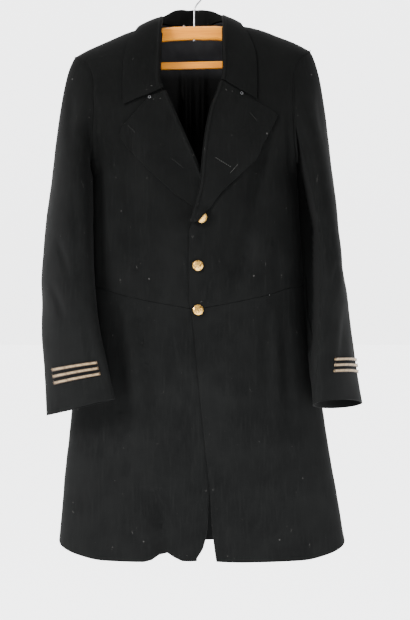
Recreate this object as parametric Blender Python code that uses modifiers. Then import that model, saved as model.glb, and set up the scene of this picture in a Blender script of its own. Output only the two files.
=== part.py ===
"""Naval officer's frock coat hanging on a wooden hanger.

All tables and lengths are in millimetres and angles in degrees; meshes are written in metres.
The origin is the inner top of the hanger's hook, +Z is up, the coat faces -Y and +X is the
wearer's left. Every cloth panel is a wall between an outer skin and an inner skin, both worked
out from the same girth sections, so neighbours share their seam and keep a small gap there.
"""
import math
from bisect import bisect_right
from collections import namedtuple

import bmesh
import bpy
from mathutils import Vector

MM = 0.001
NUDGE = 0.02
LEFT = 1
RIGHT = -1

# Cloth
CLOTH = 2.2
GAP = 0.3
HALF_GAP = GAP / 2
NORMAL_STEPS = 400
LINING = 1.0
LINING_ROOM = 0.6
LINING_TOP = 0.9
LINING_LEAST = 0.03
LINING_NECK_FROM = 0.7
LINING_NECK_WIDE = 0.13
LINING_FIRST_ROW = 5
LINING_FIRST_COLUMN = 2

# Heights below the top of the hook
ARMPIT = -362.0

# Girth of the coat at each height: right and left reach, front and back depth, squareness
Section = namedtuple("Section", "z right left front back square")
SECTIONS = [
    Section(-362, -190, 190, 78, 72, 2.4),
    Section(-464, -196, 196, 75, 66, 2.4),
    Section(-560, -200, 202, 69, 60, 2.3),
    Section(-608, -203, 205, 67, 60, 2.3),
    Section(-686, -212, 216, 71, 66, 2.3),
    Section(-778, -224, 234, 76, 75, 2.3),
    Section(-908, -238, 256, 81, 84, 2.3),
    Section(-1030, -249, 277, 84, 89, 2.3),
    Section(-1070, -252, 284, 85, 90, 2.3),
]

# Waist seam and hem heights round the body, by angle from the centre front
Round = namedtuple("Round", "angle waist hem")
ROUNDS = [
    Round(0, -611, -1061),
    Round(16, -601, -1064),
    Round(40, -584, -1063),
    Round(54, -573, -1056),
    Round(72, -569, -1045),
    Round(90, -564, -1036),
    Round(120, -562, -1046),
    Round(180, -560, -1053),
]

# Side-back seam: angle from the centre front at each row
Seam = namedtuple("Seam", "row angle")
SIDE_SEAM = [
    Seam(-2, 136),
    Seam(-1, 138),
    Seam(-0.8, 136),
    Seam(-0.5, 122),
    Seam(-0.2, 103),
    Seam(0, 90),
]

# Shoulders
Shoulder = namedtuple("Shoulder", "x z")
SHOULDER_LINE = [
    Shoulder(0, -66),
    Shoulder(30, -69),
    Shoulder(60, -82),
    Shoulder(85, -88),
    Shoulder(102, -91),
    Shoulder(123, -97),
    Shoulder(142, -104.5),
    Shoulder(159, -112),
    Shoulder(194, -127),
    Shoulder(220, -141),
]
TILT = 0.02
ArmholeRow = namedtuple("ArmholeRow", "share x")
ARMHOLE = [
    ArmholeRow(0, 190),
    ArmholeRow(0.1, 187),
    ArmholeRow(0.25, 183),
    ArmholeRow(0.5, 180),
    ArmholeRow(0.7, 181),
    ArmholeRow(0.82, 188),
    ArmholeRow(0.94, 206),
    ArmholeRow(1, 217),
]
ARMHOLE_FRONT = 66
ARMHOLE_BACK = 62
ARMHOLE_BACK_ANGLE = 90.001
HOLE_FADING = 2.0
HOLE_FADING_TOP = 0.3
CHEST_BACK_FULL = 0.4
CHEST_FRONT = 78
CHEST_BACK = 80
UPPER_SHIFT = -3
UPPER_SQUARE = 2.4
NECK_HALF = 58
NECK_DROP = 0.215

# Front edges: the roll line down to the button stand, then the edge of the skirt
Edge = namedtuple("Edge", "z x")
LEFT_EDGE = [
    Edge(-60, 55),
    Edge(-178, 56),
    Edge(-215, 47.4),
    Edge(-251, 34.8),
    Edge(-323, 22.1),
    Edge(-384, 16.7),
    Edge(-454, -2.9),
    Edge(-472, -8.4),
    Edge(-522, -9.2),
    Edge(-594, -8.4),
    Edge(-630, -2.9),
    Edge(-773, 11.4),
    Edge(-862, 20.4),
    Edge(-929, 27.5),
    Edge(-1023, 34.7),
    Edge(-1062, 40),
]
RIGHT_EDGE = [
    Edge(-60, -61),
    Edge(-197, -64),
    Edge(-224, -52),
    Edge(-287, -25),
    Edge(-384, 16.7),
    Edge(-430, 33),
    Edge(-480, 38),
    Edge(-700, 38),
    Edge(-850, 33),
    Edge(-943, 27.5),
    Edge(-1006, 24),
    Edge(-1038, 17),
    Edge(-1056, 6),
]

# The right front passes under the left: how far it is set in, by height
Under = namedtuple("Under", "z depth")
UNDERLAP = [
    Under(-330, 0),
    Under(-366, 9.5),
    Under(-400, 10.5),
    Under(-440, 10.5),
    Under(-480, 4.2),
    Under(-700, 4),
    Under(-930, 4),
    Under(-1062, 4.5),
]
UNDERLAP_FROM = 95
UNDERLAP_FULL = 12

# Hem of the right skirt: lifted where its corner curls
HEM_LIFT_X = -52
HEM_LIFT_WIDTH = 20
HEM_LIFT = 17
HEM_LIFT_ROW = 1.75

# Largest folds: troughs are positive depths, ridges negative
Fold = namedtuple("Fold", "face z_top x_top z_low x_low width depth")
FOLDS = [
    Fold("front", -300, -128, -545, -112, 15, 9),
    Fold("front", -330, -92, -520, -84, 22, -4),
    Fold("front", -290, 126, -470, 106, 17, 9),
    Fold("front", -440, 108, -600, 68, 16, 8),
    Fold("front", -380, 62, -560, 44, 20, -4),
    Fold("front", -575, -150, -800, -126, 16, 10),
    Fold("front", -590, -110, -800, -66, 15, 10),
    Fold("front", -640, -92, -860, -100, 18, -5),
    Fold("front", -600, 134, -850, 136, 17, 6),
    Fold("front", -600, 164, -900, 172, 15, 6),
    Fold("front", -640, 150, -900, 152, 12, -3),
    Fold("front", -930, -74, -1090, -44, 17, 16),
    Fold("back", -200, -70, -520, -96, 22, 8),
    Fold("back", -230, 76, -560, 92, 20, 7),
    Fold("back", -300, 128, -560, 120, 17, 6),
    Fold("back", -320, -132, -540, -124, 16, 6),
    Fold("back", -600, -60, -1100, -74, 20, 13),
    Fold("back", -640, -116, -1100, -140, 20, 12),
    Fold("back", -600, 58, -1100, 76, 20, 13),
    Fold("back", -650, 118, -1100, 150, 21, 12),
]

FOLD_FULLNESS = 0.7

# Vent at the centre back: half its opening at the hem, and where it starts
VENT_HALF = 2.5
VENT_ROW = 1.1
VENT_ANGLE = 160

# Mesh rows and columns
BODICE_ROWS = 8
UPPER_ROWS = 10
SKIRT_ROWS = 10
FRONT_COLUMNS = 12
BACK_COLUMNS = (0, 0.2, 0.4, 0.6)
NECK_COLUMNS = 4

# Lapels: outline from the roll to the notch and round the outer edge (x, z)
Spot = namedtuple("Spot", "x z")
RIGHT_LAPEL_TOP = [
    Spot(-56, -218.5), Spot(-81, -228), Spot(-118, -270), Spot(-129, -284), Spot(-134, -297),
]
RIGHT_LAPEL_OUT = [
    Spot(-134, -297), Spot(-120, -318.5), Spot(-79, -363), Spot(-34, -405), Spot(2, -428), Spot(20, -437),
]
RIGHT_LAPEL_END = -431
LEFT_LAPEL_TOP = [Spot(52, -200.5), Spot(83.5, -220), Spot(148, -259), Spot(150.5, -264)]
LEFT_LAPEL_OUT = [
    Spot(150.5, -264), Spot(125, -315), Spot(108.5, -342), Spot(83, -369), Spot(51, -399.5), Spot(20, -428),
]
LEFT_LAPEL_END = -429
LAPEL_ROLL_TOP = 6.2
LAPEL_ROLL_LOW = 5.4
LAPEL_LAY = 1.7
LAPEL_ROWS = 9
LAPEL_COLUMNS = 6

# Section of a fold: steps across it from its hidden foot over the crest to its outer side
Wrap = namedtuple("Wrap", "step across")
Rise = namedtuple("Rise", "step height")
WRAP_FLAT = 4
WRAP_HALF = 2.6
WRAP_DROP = 2.0
WRAP_SHOULDER = 2.5
WRAP = [Wrap(0, -4.2), Wrap(1, -4.4), Wrap(2, -3.6), Wrap(3, -0.6), Wrap(WRAP_FLAT, WRAP_HALF)]
LAPEL_FOOT = -2.0

# Collar stations: row 0.5 to 1 runs up the front edge, 1 to 2 round the back neck
Station = namedtuple(
    "Station", "row lean angle height_right height_left leaf_right leaf_left turn_right turn_left leaf_height"
)
COLLAR = [
    Station(0.50, 0, 30.0, 5.5, 5.5, 127.6, 112, 23.4, 20.3, 3.1),
    Station(0.60, 0, 40.9, 5.8, 5.8, 129, 114, 40.9, 37, 3.1),
    Station(0.70, 0, 52.6, 6.5, 6.5, 128, 113, 52.6, 51, 3.1),
    Station(0.80, 0, 64.8, 8, 7.5, 120, 102, 64.8, 64.8, 3.6),
    Station(0.90, 1, 78.5, 12, 10, 108, 91, 77.4, 77.4, 4.6),
    Station(1.00, 3, 93.0, 16, 13, 99, 84, 90, 90, 7),
    Station(1.25, 7, 97.0, 22, 17.5, 86, 76, 107, 107, 9),
    Station(1.50, 8, 99.0, 25, 22.5, 66, 58, 115, 115, 9),
    Station(1.75, 6, 102.0, 31, 30.5, 35, 32, 121, 121, 8),
    Station(2.00, 0, 103.0, 35, 35, 0, 0, 124, 124, 8),
]
SIDE_NAME = {RIGHT: "right", LEFT: "left"}
RIGHT_GORGE = 0.52
LEFT_GORGE = 0.549
COLLAR_STATIONS = (0.6, 0.7, 0.8, 0.9, 1, 1.25, 1.5, 1.75)
COLLAR_FALL_COLUMNS = 4
COLLAR_SET = 1.5

# Sleeves: centre, half width, half thickness and turn of the flattened tube
Tube = namedtuple("Tube", "z x y wide thick turn")
RIGHT_TUBE = [
    Tube(-374, 225, -8, 72, 37, 75),
    Tube(-445, 229, -15, 71, 39, 66),
    Tube(-537, 231, -27, 71, 40, 57),
    Tube(-630, 226, -44, 70, 34, 45),
    Tube(-722, 213, -64, 69, 28, 33),
    Tube(-786, 203, -82, 69, 24, 25),
]
LEFT_TUBE = [
    Tube(-374, 221, -5, 75, 34, 94),
    Tube(-445, 224, -10, 73, 38, 98),
    Tube(-537, 235, -18, 69, 40, 98),
    Tube(-590, 241, -22, 68, 41, 84),
    Tube(-630, 245, -28, 67, 38, 70),
    Tube(-722, 255, -44, 68, 31, 58),
    Tube(-782, 260, -58, 67, 26, 48),
]
CUFF_TILT = {RIGHT: (17, 0), LEFT: (5, 9)}
CUFF_TILT_FROM = 0.55
CAP_OUT = 0.5
CAP_OUT_TOP = 0.3
CAP_DROP_TOP = 0.42
CAP_DOWN = 0.95
SLEEVE_ROOM = 3.6
SLEEVE_ROOM_QUICK = 6
SLEEVE_PRESSED = 150.0
SEAM_BEVEL = 2.0
CAP_ROWS = 5
TUBE_ROWS = 10
UNDER_START = 180
Crease = namedtuple("Crease", "side alpha z width height depth")
CREASES = [
    Crease(RIGHT, 60, -520, 40, 30, 5),
    Crease(RIGHT, 120, -600, 40, 28, 4),
    Crease(LEFT, 70, -540, 40, 30, 5),
    Crease(LEFT, 110, -470, 40, 26, 4),
]

# Cuff lace
LACE_ABOVE_RIM = {RIGHT: (71, 60, 49), LEFT: (76, 65, 54)}
LACE_HALF_WIDTH = 2.8
LACE_THICK = 1.0
LACE_LAY = 0.8
LACE_SPAN = {RIGHT: (28, 118), LEFT: (46, 138)}

# Buttons: place on the left front, and how far each face is tipped
Button = namedtuple("Button", "name x z tip_x tip_z")
BUTTONS = [
    Button("button_top", 14, -446, 14, -10),
    Button("button_middle", 7.2, -532, 3, 2),
    Button("button_bottom", 7.4, -612, 10, 6),
]
Turned = namedtuple("Turned", "radius height")
BUTTON_PROFILE = [
    Turned(0, 0),
    Turned(2.6, 0),
    Turned(2.6, 1.8),
    Turned(8.8, 1.9),
    Turned(9.6, 2.6),
    Turned(9.5, 3.4),
    Turned(7.1, 5.0),
    Turned(3.8, 5.9),
    Turned(0, 6.2),
]
BUTTON_STEPS = 20
BUTTON_SEAT = 0.5

# Collar hook and eye, each a small wire ring
HOOK_SPOT = Spot(-79.5, -230)
EYE_SPOT = Spot(86, -223)
RING_RADIUS = 2.2
RING_WIRE = 0.5
RING_STEPS = 10

# Hanging loop inside the collar
LOOP_HALF = 34
LOOP_SHIFT = -12
LOOP_LOW = 0.44
LOOP_HIGH = 0.72
LOOP_THICK = 0.8
LOOP_LIFT = 2.3
LOOP_TURN = 0.55

# Hanger
HOOK_WIRE = 1.5
HOOK_INNER = 20
HOOK_FROM = -52
HOOK_TO = 200
HOOK_STEPS = 18
SHANK = [Spot(0, -87.7), Spot(0, -72), Spot(0, -58), Spot(1.5, -52.5), Spot(5, -46.5), Spot(9.5, -41.6)]
Bar = namedtuple("Bar", "x top bottom")
HANGER_BAR = [
    Bar(0, -88, -112),
    Bar(40, -88.2, -113),
    Bar(60, -90, -115),
    Bar(80, -92.8, -118),
    Bar(100, -97.2, -122),
    Bar(130, -105.2, -130),
    Bar(163.6, -118.6, -140),
    Bar(165, -119.2, -170),
    Bar(185, -128.0, -171),
    Bar(192, -132.4, -168),
]
BAR_HALF = 7
BAR_ROUND = 3
TROUSER_BAR_TOP = -153
TROUSER_BAR_BOTTOM = -166
TROUSER_BAR_HALF_LENGTH = 164
TROUSER_BAR_HALF_DEPTH = 4.5
TROUSER_BAR_ROUND = 1.8
NUT_RADIUS = 3.5
NUT_HEIGHT = 2.5
NUT_SIDES = 12


def mix(low, high, share):
    return low + (high - low) * share


def clamp(value, low=0.0, high=1.0):
    return max(low, min(high, value))


def ease(value):
    share = clamp(value)
    return share * share * (3 - 2 * share)


def steps(low, high, count):
    return [mix(low, high, index / count) for index in range(count + 1)]


class Line:
    """A smooth line through one column of a table, which never swings past its rows."""

    def __init__(self, rows, key, column):
        pairs = sorted((getattr(row, key), getattr(row, column)) for row in rows)
        self.keys = [pair[0] for pair in pairs]
        self.values = [pair[1] for pair in pairs]
        slopes = []
        for index in range(len(pairs) - 1):
            run = self.keys[index + 1] - self.keys[index]
            slopes.append((self.values[index + 1] - self.values[index]) / run)
        self.slopes = [slopes[0]]
        for before, after in zip(slopes, slopes[1:]):
            same = before * after > 0
            self.slopes.append(2 * before * after / (before + after) if same else 0.0)
        self.slopes.append(slopes[-1])

    def __call__(self, key):
        key = clamp(key, self.keys[0], self.keys[-1])
        index = min(bisect_right(self.keys, key), len(self.keys) - 1) - 1
        run = self.keys[index + 1] - self.keys[index]
        t = (key - self.keys[index]) / run
        rise = self.values[index + 1] - self.values[index]
        start = self.slopes[index] * run
        end = self.slopes[index + 1] * run
        bend = (3 * t * t - 2 * t * t * t) * rise
        return self.values[index] + bend + (t - 2 * t * t + t ** 3) * start + (t ** 3 - t * t) * end


SECTION = {name: Line(SECTIONS, "z", name) for name in ("right", "left", "front", "back", "square")}
WAIST = Line(ROUNDS, "angle", "waist")
HEM = Line(ROUNDS, "angle", "hem")
SIDE = Line(SIDE_SEAM, "row", "angle")
SHOULDER = Line(SHOULDER_LINE, "x", "z")
ARMHOLE_X = Line(ARMHOLE, "share", "x")
EDGE_X = {LEFT: Line(LEFT_EDGE, "z", "x"), RIGHT: Line(RIGHT_EDGE, "z", "x")}
UNDERLAP_DEPTH = Line(UNDERLAP, "z", "depth")
WRAP_ACROSS = Line(WRAP, "step", "across")
COLLAR_LINE = {name: Line(COLLAR, "row", name) for name in Station._fields if name != "row"}
TUBE_LINE = {
    side: {name: Line(table, "z", name) for name in Tube._fields if name != "z"}
    for side, table in ((RIGHT, RIGHT_TUBE), (LEFT, LEFT_TUBE))
}


def spread(angle, power):
    """How far a superellipse of that power reaches beyond a circle, by angle."""
    turn = math.radians(angle)
    return (abs(math.sin(turn)) ** power + abs(math.cos(turn)) ** power) ** (-1 / power)


def angle_of(share, power):
    """The angle at which a superellipse reaches this share of its half width."""
    size = min(abs(share), 0.9999) ** power
    return math.copysign(math.degrees(math.atan((size / (1 - size)) ** (1 / power))), share)


def folded(angle):
    return abs((angle + 180) % 360 - 180)


def shoulder(x):
    return SHOULDER(abs(x)) + TILT * x


def height_share(row):
    return (1 - math.cos(math.pi * row)) / 2


def girth(z):
    right = SECTION["right"](z)
    left = SECTION["left"](z)
    front, back, square = (SECTION[name](z) for name in ("front", "back", "square"))
    return (left + right) / 2, (left - right) / 2, front, back, square


def fold_depth(x, z, face):
    depth = 0.0
    for fold in FOLDS:
        if fold.face != face:
            continue
        along = (fold.z_top - z) / (fold.z_top - fold.z_low)
        if not 0 < along < 1:
            continue
        away = (x - mix(fold.x_top, fold.x_low, along)) / fold.width
        depth += fold.depth * math.sin(math.pi * along) ** FOLD_FULLNESS * math.exp(-away * away)
    return depth


def underlap(x, z):
    edge = EDGE_X[LEFT](z)
    inward = (x - (edge - UNDERLAP_FROM)) / (UNDERLAP_FROM - UNDERLAP_FULL)
    return UNDERLAP_DEPTH(z) * ease(inward)


def relieved(point, middle, half, depth, side):
    """Set a point in or out by the folds and, on the right front, by the underlap."""
    face = "front" if point.y < 0 else "back"
    inward = fold_depth(point.x, point.z, face)
    if side == RIGHT and face == "front":
        inward += underlap(point.x, point.z)
    outward = Vector(((point.x - middle) / half ** 2, point.y / depth ** 2, 0))
    if inward == 0 or outward.length == 0:
        return point
    return point - outward.normalized() * inward


def lower_point(angle, z, side):
    middle, half, front, back, power = girth(z)
    turn = math.radians(angle)
    reach = spread(angle, power)
    depth = front if math.cos(turn) > 0 else back
    point = Vector((middle + half * reach * math.sin(turn), -depth * reach * math.cos(turn), z))
    return relieved(point, middle, half, depth, side)


def hole_share(share):
    return 2 * math.sqrt(share * (1 - share)) if share < 0.5 else 1.0


def upper_point(angle, share, side):
    """A point between the armpit and the shoulder line."""
    share = clamp(share)
    turn = math.radians(angle)
    front = math.cos(turn) > 0
    centre, hole = (CHEST_FRONT, ARMHOLE_FRONT) if front else (CHEST_BACK, ARMHOLE_BACK)
    if not front:
        centre = mix(SECTION["back"](ARMPIT), CHEST_BACK, ease(share / CHEST_BACK_FULL))
    reach = spread(angle, UPPER_SQUARE)
    middle = UPPER_SHIFT * share
    half = ARMHOLE_X(share)
    x = middle + half * reach * math.sin(turn)
    near_side = 1 - reach * abs(math.cos(turn))
    fading = mix(HOLE_FADING, 1, ease(share / HOLE_FADING_TOP))
    flat = centre * (1 - near_side) + hole * hole_share(share) * near_side ** fading
    lean = math.sqrt(1 - share * share)
    y = (-flat if front else flat) * lean
    z = ARMPIT + share * (shoulder(x) - ARMPIT)
    return relieved(Vector((x, y, z)), middle, half, centre, side)


def level(angle, row):
    """Height of a row from the armpit (0) through the waist seam (-1) to the hem (-2)."""
    around = folded(angle)
    waist = WAIST(around)
    if row >= -1:
        return mix(ARMPIT, waist, -row)
    return mix(waist, HEM(around), -row - 1)


def body_point(angle, row, side=LEFT):
    if row > 0:
        return upper_point(angle, height_share(row), side)
    return lower_point(angle, level(angle, row), side)


def edge_angle(side, row):
    angle = 0.0
    for _ in range(5):
        if row > 0:
            share = height_share(row)
            reach = ARMHOLE_X(share) * spread(angle, UPPER_SQUARE)
            x = UPPER_SHIFT * share + reach * math.sin(math.radians(angle))
            z = ARMPIT + share * (shoulder(x) - ARMPIT)
            angle = angle_of((EDGE_X[side](z) - UPPER_SHIFT * share) / ARMHOLE_X(share), UPPER_SQUARE)
        else:
            z = level(angle, row)
            middle, half, _, _, power = girth(z)
            angle = angle_of((EDGE_X[side](z) - middle) / half, power)
    return angle


NECK_ANGLE = 180 - angle_of(NECK_HALF / ARMHOLE_X(1), UPPER_SQUARE)


def neck_row(angle):
    """Top row of the back: the shoulder line, dipping round the back neck."""
    inward = (folded(angle) - NECK_ANGLE) / (180 - NECK_ANGLE)
    if inward <= 0:
        return 1.0
    return 1 - NECK_DROP * (1 - (1 - inward) ** 2)


def front_at(x, z, side):
    """The outer skin of the front above or below the armpit, at a place seen from the front."""
    if z <= ARMPIT:
        middle, half, _, _, power = girth(z)
        return lower_point(angle_of((x - middle) / half, power), z, side)
    share = clamp((z - ARMPIT) / (shoulder(x) - ARMPIT))
    half = ARMHOLE_X(share)
    return upper_point(angle_of((x - UPPER_SHIFT * share) / half, UPPER_SQUARE), share, side)


def front_normal(x, z, side):
    across = front_at(x + 2, z, side) - front_at(x - 2, z, side)
    up = front_at(x, z + 2, side) - front_at(x, z - 2, side)
    return across.cross(up).normalized()


def shell(x, angle, height):
    """A point over the shoulders: angle 0 is the chest, 90 the shoulder line, 180 the back."""
    turn = math.radians(angle)
    front = angle < 90
    centre, hole = (CHEST_FRONT, ARMHOLE_FRONT) if front else (CHEST_BACK, ARMHOLE_BACK)
    around = math.radians(angle_of((x - UPPER_SHIFT) / ARMHOLE_X(1), UPPER_SQUARE))
    flat = hole + (centre - hole) * spread(math.degrees(around), UPPER_SQUARE) * math.cos(around)
    rise = shoulder(x) - ARMPIT
    outward = Vector((0, -math.cos(turn) / flat, math.sin(turn) / rise)).normalized()
    return Vector((x, -flat * math.cos(turn), ARMPIT + rise * math.sin(turn))) + outward * height


def front_panel(side):
    def point(column, row):
        angle = mix(edge_angle(side, row), side * SIDE(row), column)
        return body_point(angle, row, side)
    return point


def skirt_panel(side):
    def point(column, row):
        angle = mix(edge_angle(side, row), side * SIDE(row), column)
        place = body_point(angle, row, side)
        if side == RIGHT and folded(angle) < 90:
            away = (place.x - HEM_LIFT_X) / HEM_LIFT_WIDTH
            place.z += HEM_LIFT * math.exp(-away * away) * ease((-row - HEM_LIFT_ROW) / (2 - HEM_LIFT_ROW))
        return place
    return point


def back_panel(side):
    def point(column, row):
        start = SIDE(row) if row <= 0 else ARMHOLE_BACK_ANGLE
        angle = mix(start, 180.0, column)
        top = neck_row(angle) if row > 0 else 1.0
        place = body_point(side * angle, row * top, LEFT)
        opening = ease((-row - VENT_ROW) / (2 - VENT_ROW)) * ease((angle - VENT_ANGLE) / (180 - VENT_ANGLE))
        place.x += side * VENT_HALF * opening
        return place
    return point


def armhole_point(side, alpha):
    """The armhole by angle: -90 the armpit, 0 the front, 90 the shoulder tip, 180 the back."""
    row = (alpha + 90) / 180 % 2
    front = row <= 1
    share = height_share(row if front else 2 - row)
    depth = -ARMHOLE_FRONT if front else ARMHOLE_BACK
    x = UPPER_SHIFT * share + side * ARMHOLE_X(share)
    y = depth * hole_share(share) * math.sqrt(max(0.0, 1 - share * share))
    return Vector((x, y, ARMPIT + share * (shoulder(x) - ARMPIT)))


def clear_of_body(point, room):
    """Push a point straight out of the body's girth where it comes nearer than the room."""
    middle, half, front, back, power = girth(min(point.z, ARMPIT))
    depth = front if point.y < 0 else back
    for _ in range(3):
        across = abs(point.x - middle) / half
        deep = abs(point.y) / depth
        radius = max(1e-6, (across ** power + deep ** power) ** (1 / power))
        slope_x = (across / radius) ** (power - 1) / half
        slope_y = (deep / radius) ** (power - 1) / depth
        steep = math.hypot(slope_x, slope_y)
        short = 1 + room * steep - radius
        if short <= 0:
            break
        move = short / steep ** 2
        point = point + Vector((
            math.copysign(slope_x * move, point.x - middle),
            math.copysign(slope_y * move, point.y),
            0,
        ))
    return point


def tube_point(side, alpha, along):
    """The sleeve below the armpit; along runs from 0 at the armpit to 1 at the cuff."""
    table = RIGHT_TUBE if side == RIGHT else LEFT_TUBE
    z = mix(table[0].z, table[-1].z, along)
    line = TUBE_LINE[side]
    turn = math.radians(line["turn"](z))
    inward = Vector((-side * math.cos(turn), -math.sin(turn), 0))
    outward = Vector((side * math.sin(turn), -math.cos(turn), 0))
    place = math.radians(alpha)
    thick = line["thick"](z)
    for crease in CREASES:
        if crease.side == side:
            off = ((alpha - crease.alpha) / crease.width) ** 2 + ((z - crease.z) / crease.height) ** 2
            thick -= crease.depth * math.exp(-off)
    point = Vector((side * line["x"](z), line["y"](z), z))
    point += inward * line["wide"](z) * math.cos(place) + outward * thick * math.sin(place)
    front, under = CUFF_TILT[side]
    tilt = ease((along - CUFF_TILT_FROM) / (1 - CUFF_TILT_FROM))
    point.z += tilt * (front * math.cos(place) + under * math.sin(place))
    return point


def sleeve_panel(side):
    def point(alpha, row):
        if row >= 1:
            return clear_of_body(tube_point(side, alpha, row - 1), SLEEVE_ROOM)
        start = armhole_point(side, alpha)
        end = tube_point(side, alpha, 0)
        down = (tube_point(side, alpha, NUDGE) - end).normalized()
        far = (end - start).length
        t = row
        place = start * (2 * t ** 3 - 3 * t * t + 1) + end * (3 * t * t - 2 * t ** 3)
        high = clamp((start.z - ARMPIT) / (SHOULDER_LINE[-1].z - ARMPIT))
        leave = Vector((side * mix(CAP_OUT, CAP_OUT_TOP, high), 0, -CAP_DROP_TOP * high ** 2))
        place += leave * far * (t ** 3 - 2 * t * t + t)
        place += down * far * CAP_DOWN * (t ** 3 - t * t)
        begun = ease(row * SLEEVE_ROOM_QUICK)
        room = mix(GAP, SLEEVE_ROOM, begun)
        if place.z < ARMPIT:
            return clear_of_body(place, room)
        pressed = begun * (1 - clamp((place.z - ARMPIT) / SLEEVE_PRESSED))
        return place.lerp(clear_of_body(place, room), pressed)
    return point


def fraction_line(spots):
    """A line through spots, read by its share of the whole length."""
    lengths = [0.0]
    for before, after in zip(spots, spots[1:]):
        lengths.append(lengths[-1] + math.hypot(after.x - before.x, after.z - before.z))

    def at(share):
        run = share * lengths[-1]
        index = min(bisect_right(lengths, run), len(spots) - 1) - 1
        part = (run - lengths[index]) / (lengths[index + 1] - lengths[index])
        return (mix(spots[index].x, spots[index + 1].x, part), mix(spots[index].z, spots[index + 1].z, part))
    return at


def lapel_panel(side):
    """The turned front: column 0 to 4 wraps the roll, 4 to 5 lies on the chest."""
    top, out, end = (
        (RIGHT_LAPEL_TOP, RIGHT_LAPEL_OUT, RIGHT_LAPEL_END) if side == RIGHT
        else (LEFT_LAPEL_TOP, LEFT_LAPEL_OUT, LEFT_LAPEL_END)
    )
    top_line = fraction_line(top)
    out_line = fraction_line(out)

    def roll_spot(row):
        z = mix(top[0].z, end, row)
        return EDGE_X[side](z), z

    def flat_spot(share, row):
        roll_x, roll_z = roll_spot(row)
        out_x, out_z = out_line(row)
        top_x, top_z = top_line(share)
        low_x, low_z = roll_spot(1)
        end_x, end_z = out_line(1)
        corner_x, corner_z = out_line(0)
        x = mix(roll_x, out_x, share) + mix(top_x, mix(low_x, end_x, share), row)
        z = mix(roll_z, out_z, share) + mix(top_z, mix(low_z, end_z, share), row)
        x -= mix(mix(top[0].x, corner_x, share), mix(low_x, end_x, share), row)
        z -= mix(mix(top[0].z, corner_z, share), mix(low_z, end_z, share), row)
        return x, z

    def roll_frame(row):
        x, z = flat_spot(0, row)
        ahead_x, ahead_z = flat_spot(0, min(1, row + NUDGE))
        behind_x, behind_z = flat_spot(0, max(0, row - NUDGE))
        along = Vector((ahead_x - behind_x, 0, ahead_z - behind_z)).normalized()
        normal = front_normal(x, z, side)
        return front_at(x, z, side), along.cross(normal) * -side, normal

    def point(column, row):
        crest = mix(LAPEL_ROLL_TOP, LAPEL_ROLL_LOW, row)
        place, away, normal = roll_frame(row)
        if column < WRAP_FLAT:
            across, height = wrap_section(column, LAPEL_FOOT, crest)
            return place + away * across + normal * height
        share = column - WRAP_FLAT
        x, z = flat_spot(share, row)
        lay = CLOTH + LAPEL_LAY
        height = lay + (crest - WRAP_DROP - lay) * (1 - share) ** 2
        height += max(0.0, fold_depth(x, z, "front")) * ease(share * 3)
        place = front_at(x, z, side) + front_normal(x, z, side) * height
        return place + away * WRAP_HALF * (1 - share) ** 2
    return point


def wrap_section(step, foot, crest):
    """A fold in the cloth, seen along it: how far across and how high each step lies."""
    side_top = crest - WRAP_SHOULDER
    heights = [foot, (foot + side_top) / 2, side_top, crest, crest - WRAP_DROP]
    rows = [Rise(*row) for row in enumerate(heights)]
    return WRAP_ACROSS(step), Line(rows, "step", "height")(step)


def collar_frame(turn):
    """Station of the collar: 0.5 to 2 up the right side to the back, then down the left."""
    side, row = (RIGHT, turn) if turn <= 2 else (LEFT, 4 - turn)
    if row < 1:
        seam = body_point(edge_angle(side, row), row, side)
    else:
        angle = mix(NECK_ANGLE, 180, row - 1)
        seam = body_point(side * angle, neck_row(angle), LEFT)
    angle = COLLAR_LINE["angle"](row)
    lean = COLLAR_LINE["lean"](row)
    height = COLLAR_LINE["height_" + SIDE_NAME[side]](row)
    fold = shell(seam.x - side * lean, angle, height)
    return side, row, seam, fold, angle, height


def collar_point(column, turn):
    """Column 0 is the neck seam, 3 the fold, 4 its outer side and 5 the edge of the leaf."""
    side, row, seam, fold, angle, height = collar_frame(turn)
    crest = (fold - seam).length
    up = (fold - seam).normalized()
    start = max(RIGHT_GORGE, turn - NUDGE)
    end = min(4 - LEFT_GORGE, turn + NUDGE)
    along = collar_frame(end)[3] - collar_frame(start)[3]
    away = up.cross(along).normalized()
    if column <= WRAP_FLAT:
        across, rise = wrap_section(column, 2 * GAP, crest)
        return seam + away * (across + COLLAR_SET) + up * rise
    share = column - WRAP_FLAT
    leaf_x = side * COLLAR_LINE["leaf_" + SIDE_NAME[side]](row)
    leaf_angle = COLLAR_LINE["turn_" + SIDE_NAME[side]](row)
    leaf_height = COLLAR_LINE["leaf_height"](row)
    x = mix(fold.x, leaf_x, share)
    bulge = leaf_height + (height - leaf_height) * (1 - share * share)
    place = shell(x, mix(angle, leaf_angle, share), bulge)
    return place + (away * (WRAP_HALF + COLLAR_SET) - up * WRAP_DROP) * (1 - share) ** 2


def back_columns():
    neck = (NECK_ANGLE - 90) / 90
    return list(BACK_COLUMNS) + steps(neck, 1, NECK_COLUMNS)


def lining_point(place, row):
    """The back from one shoulder blade (-1) to the other (1), through the centre seam (0)."""
    side = RIGHT if place < 0 else LEFT
    share = 1 - abs(place)
    if row > LINING_TOP:
        rise = max(LINING_LEAST, ease((share - LINING_NECK_FROM) / LINING_NECK_WIDE))
        row = mix(LINING_TOP, 1.0, (row - LINING_TOP) * rise)
    return back_panel(side)(share, row)


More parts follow.
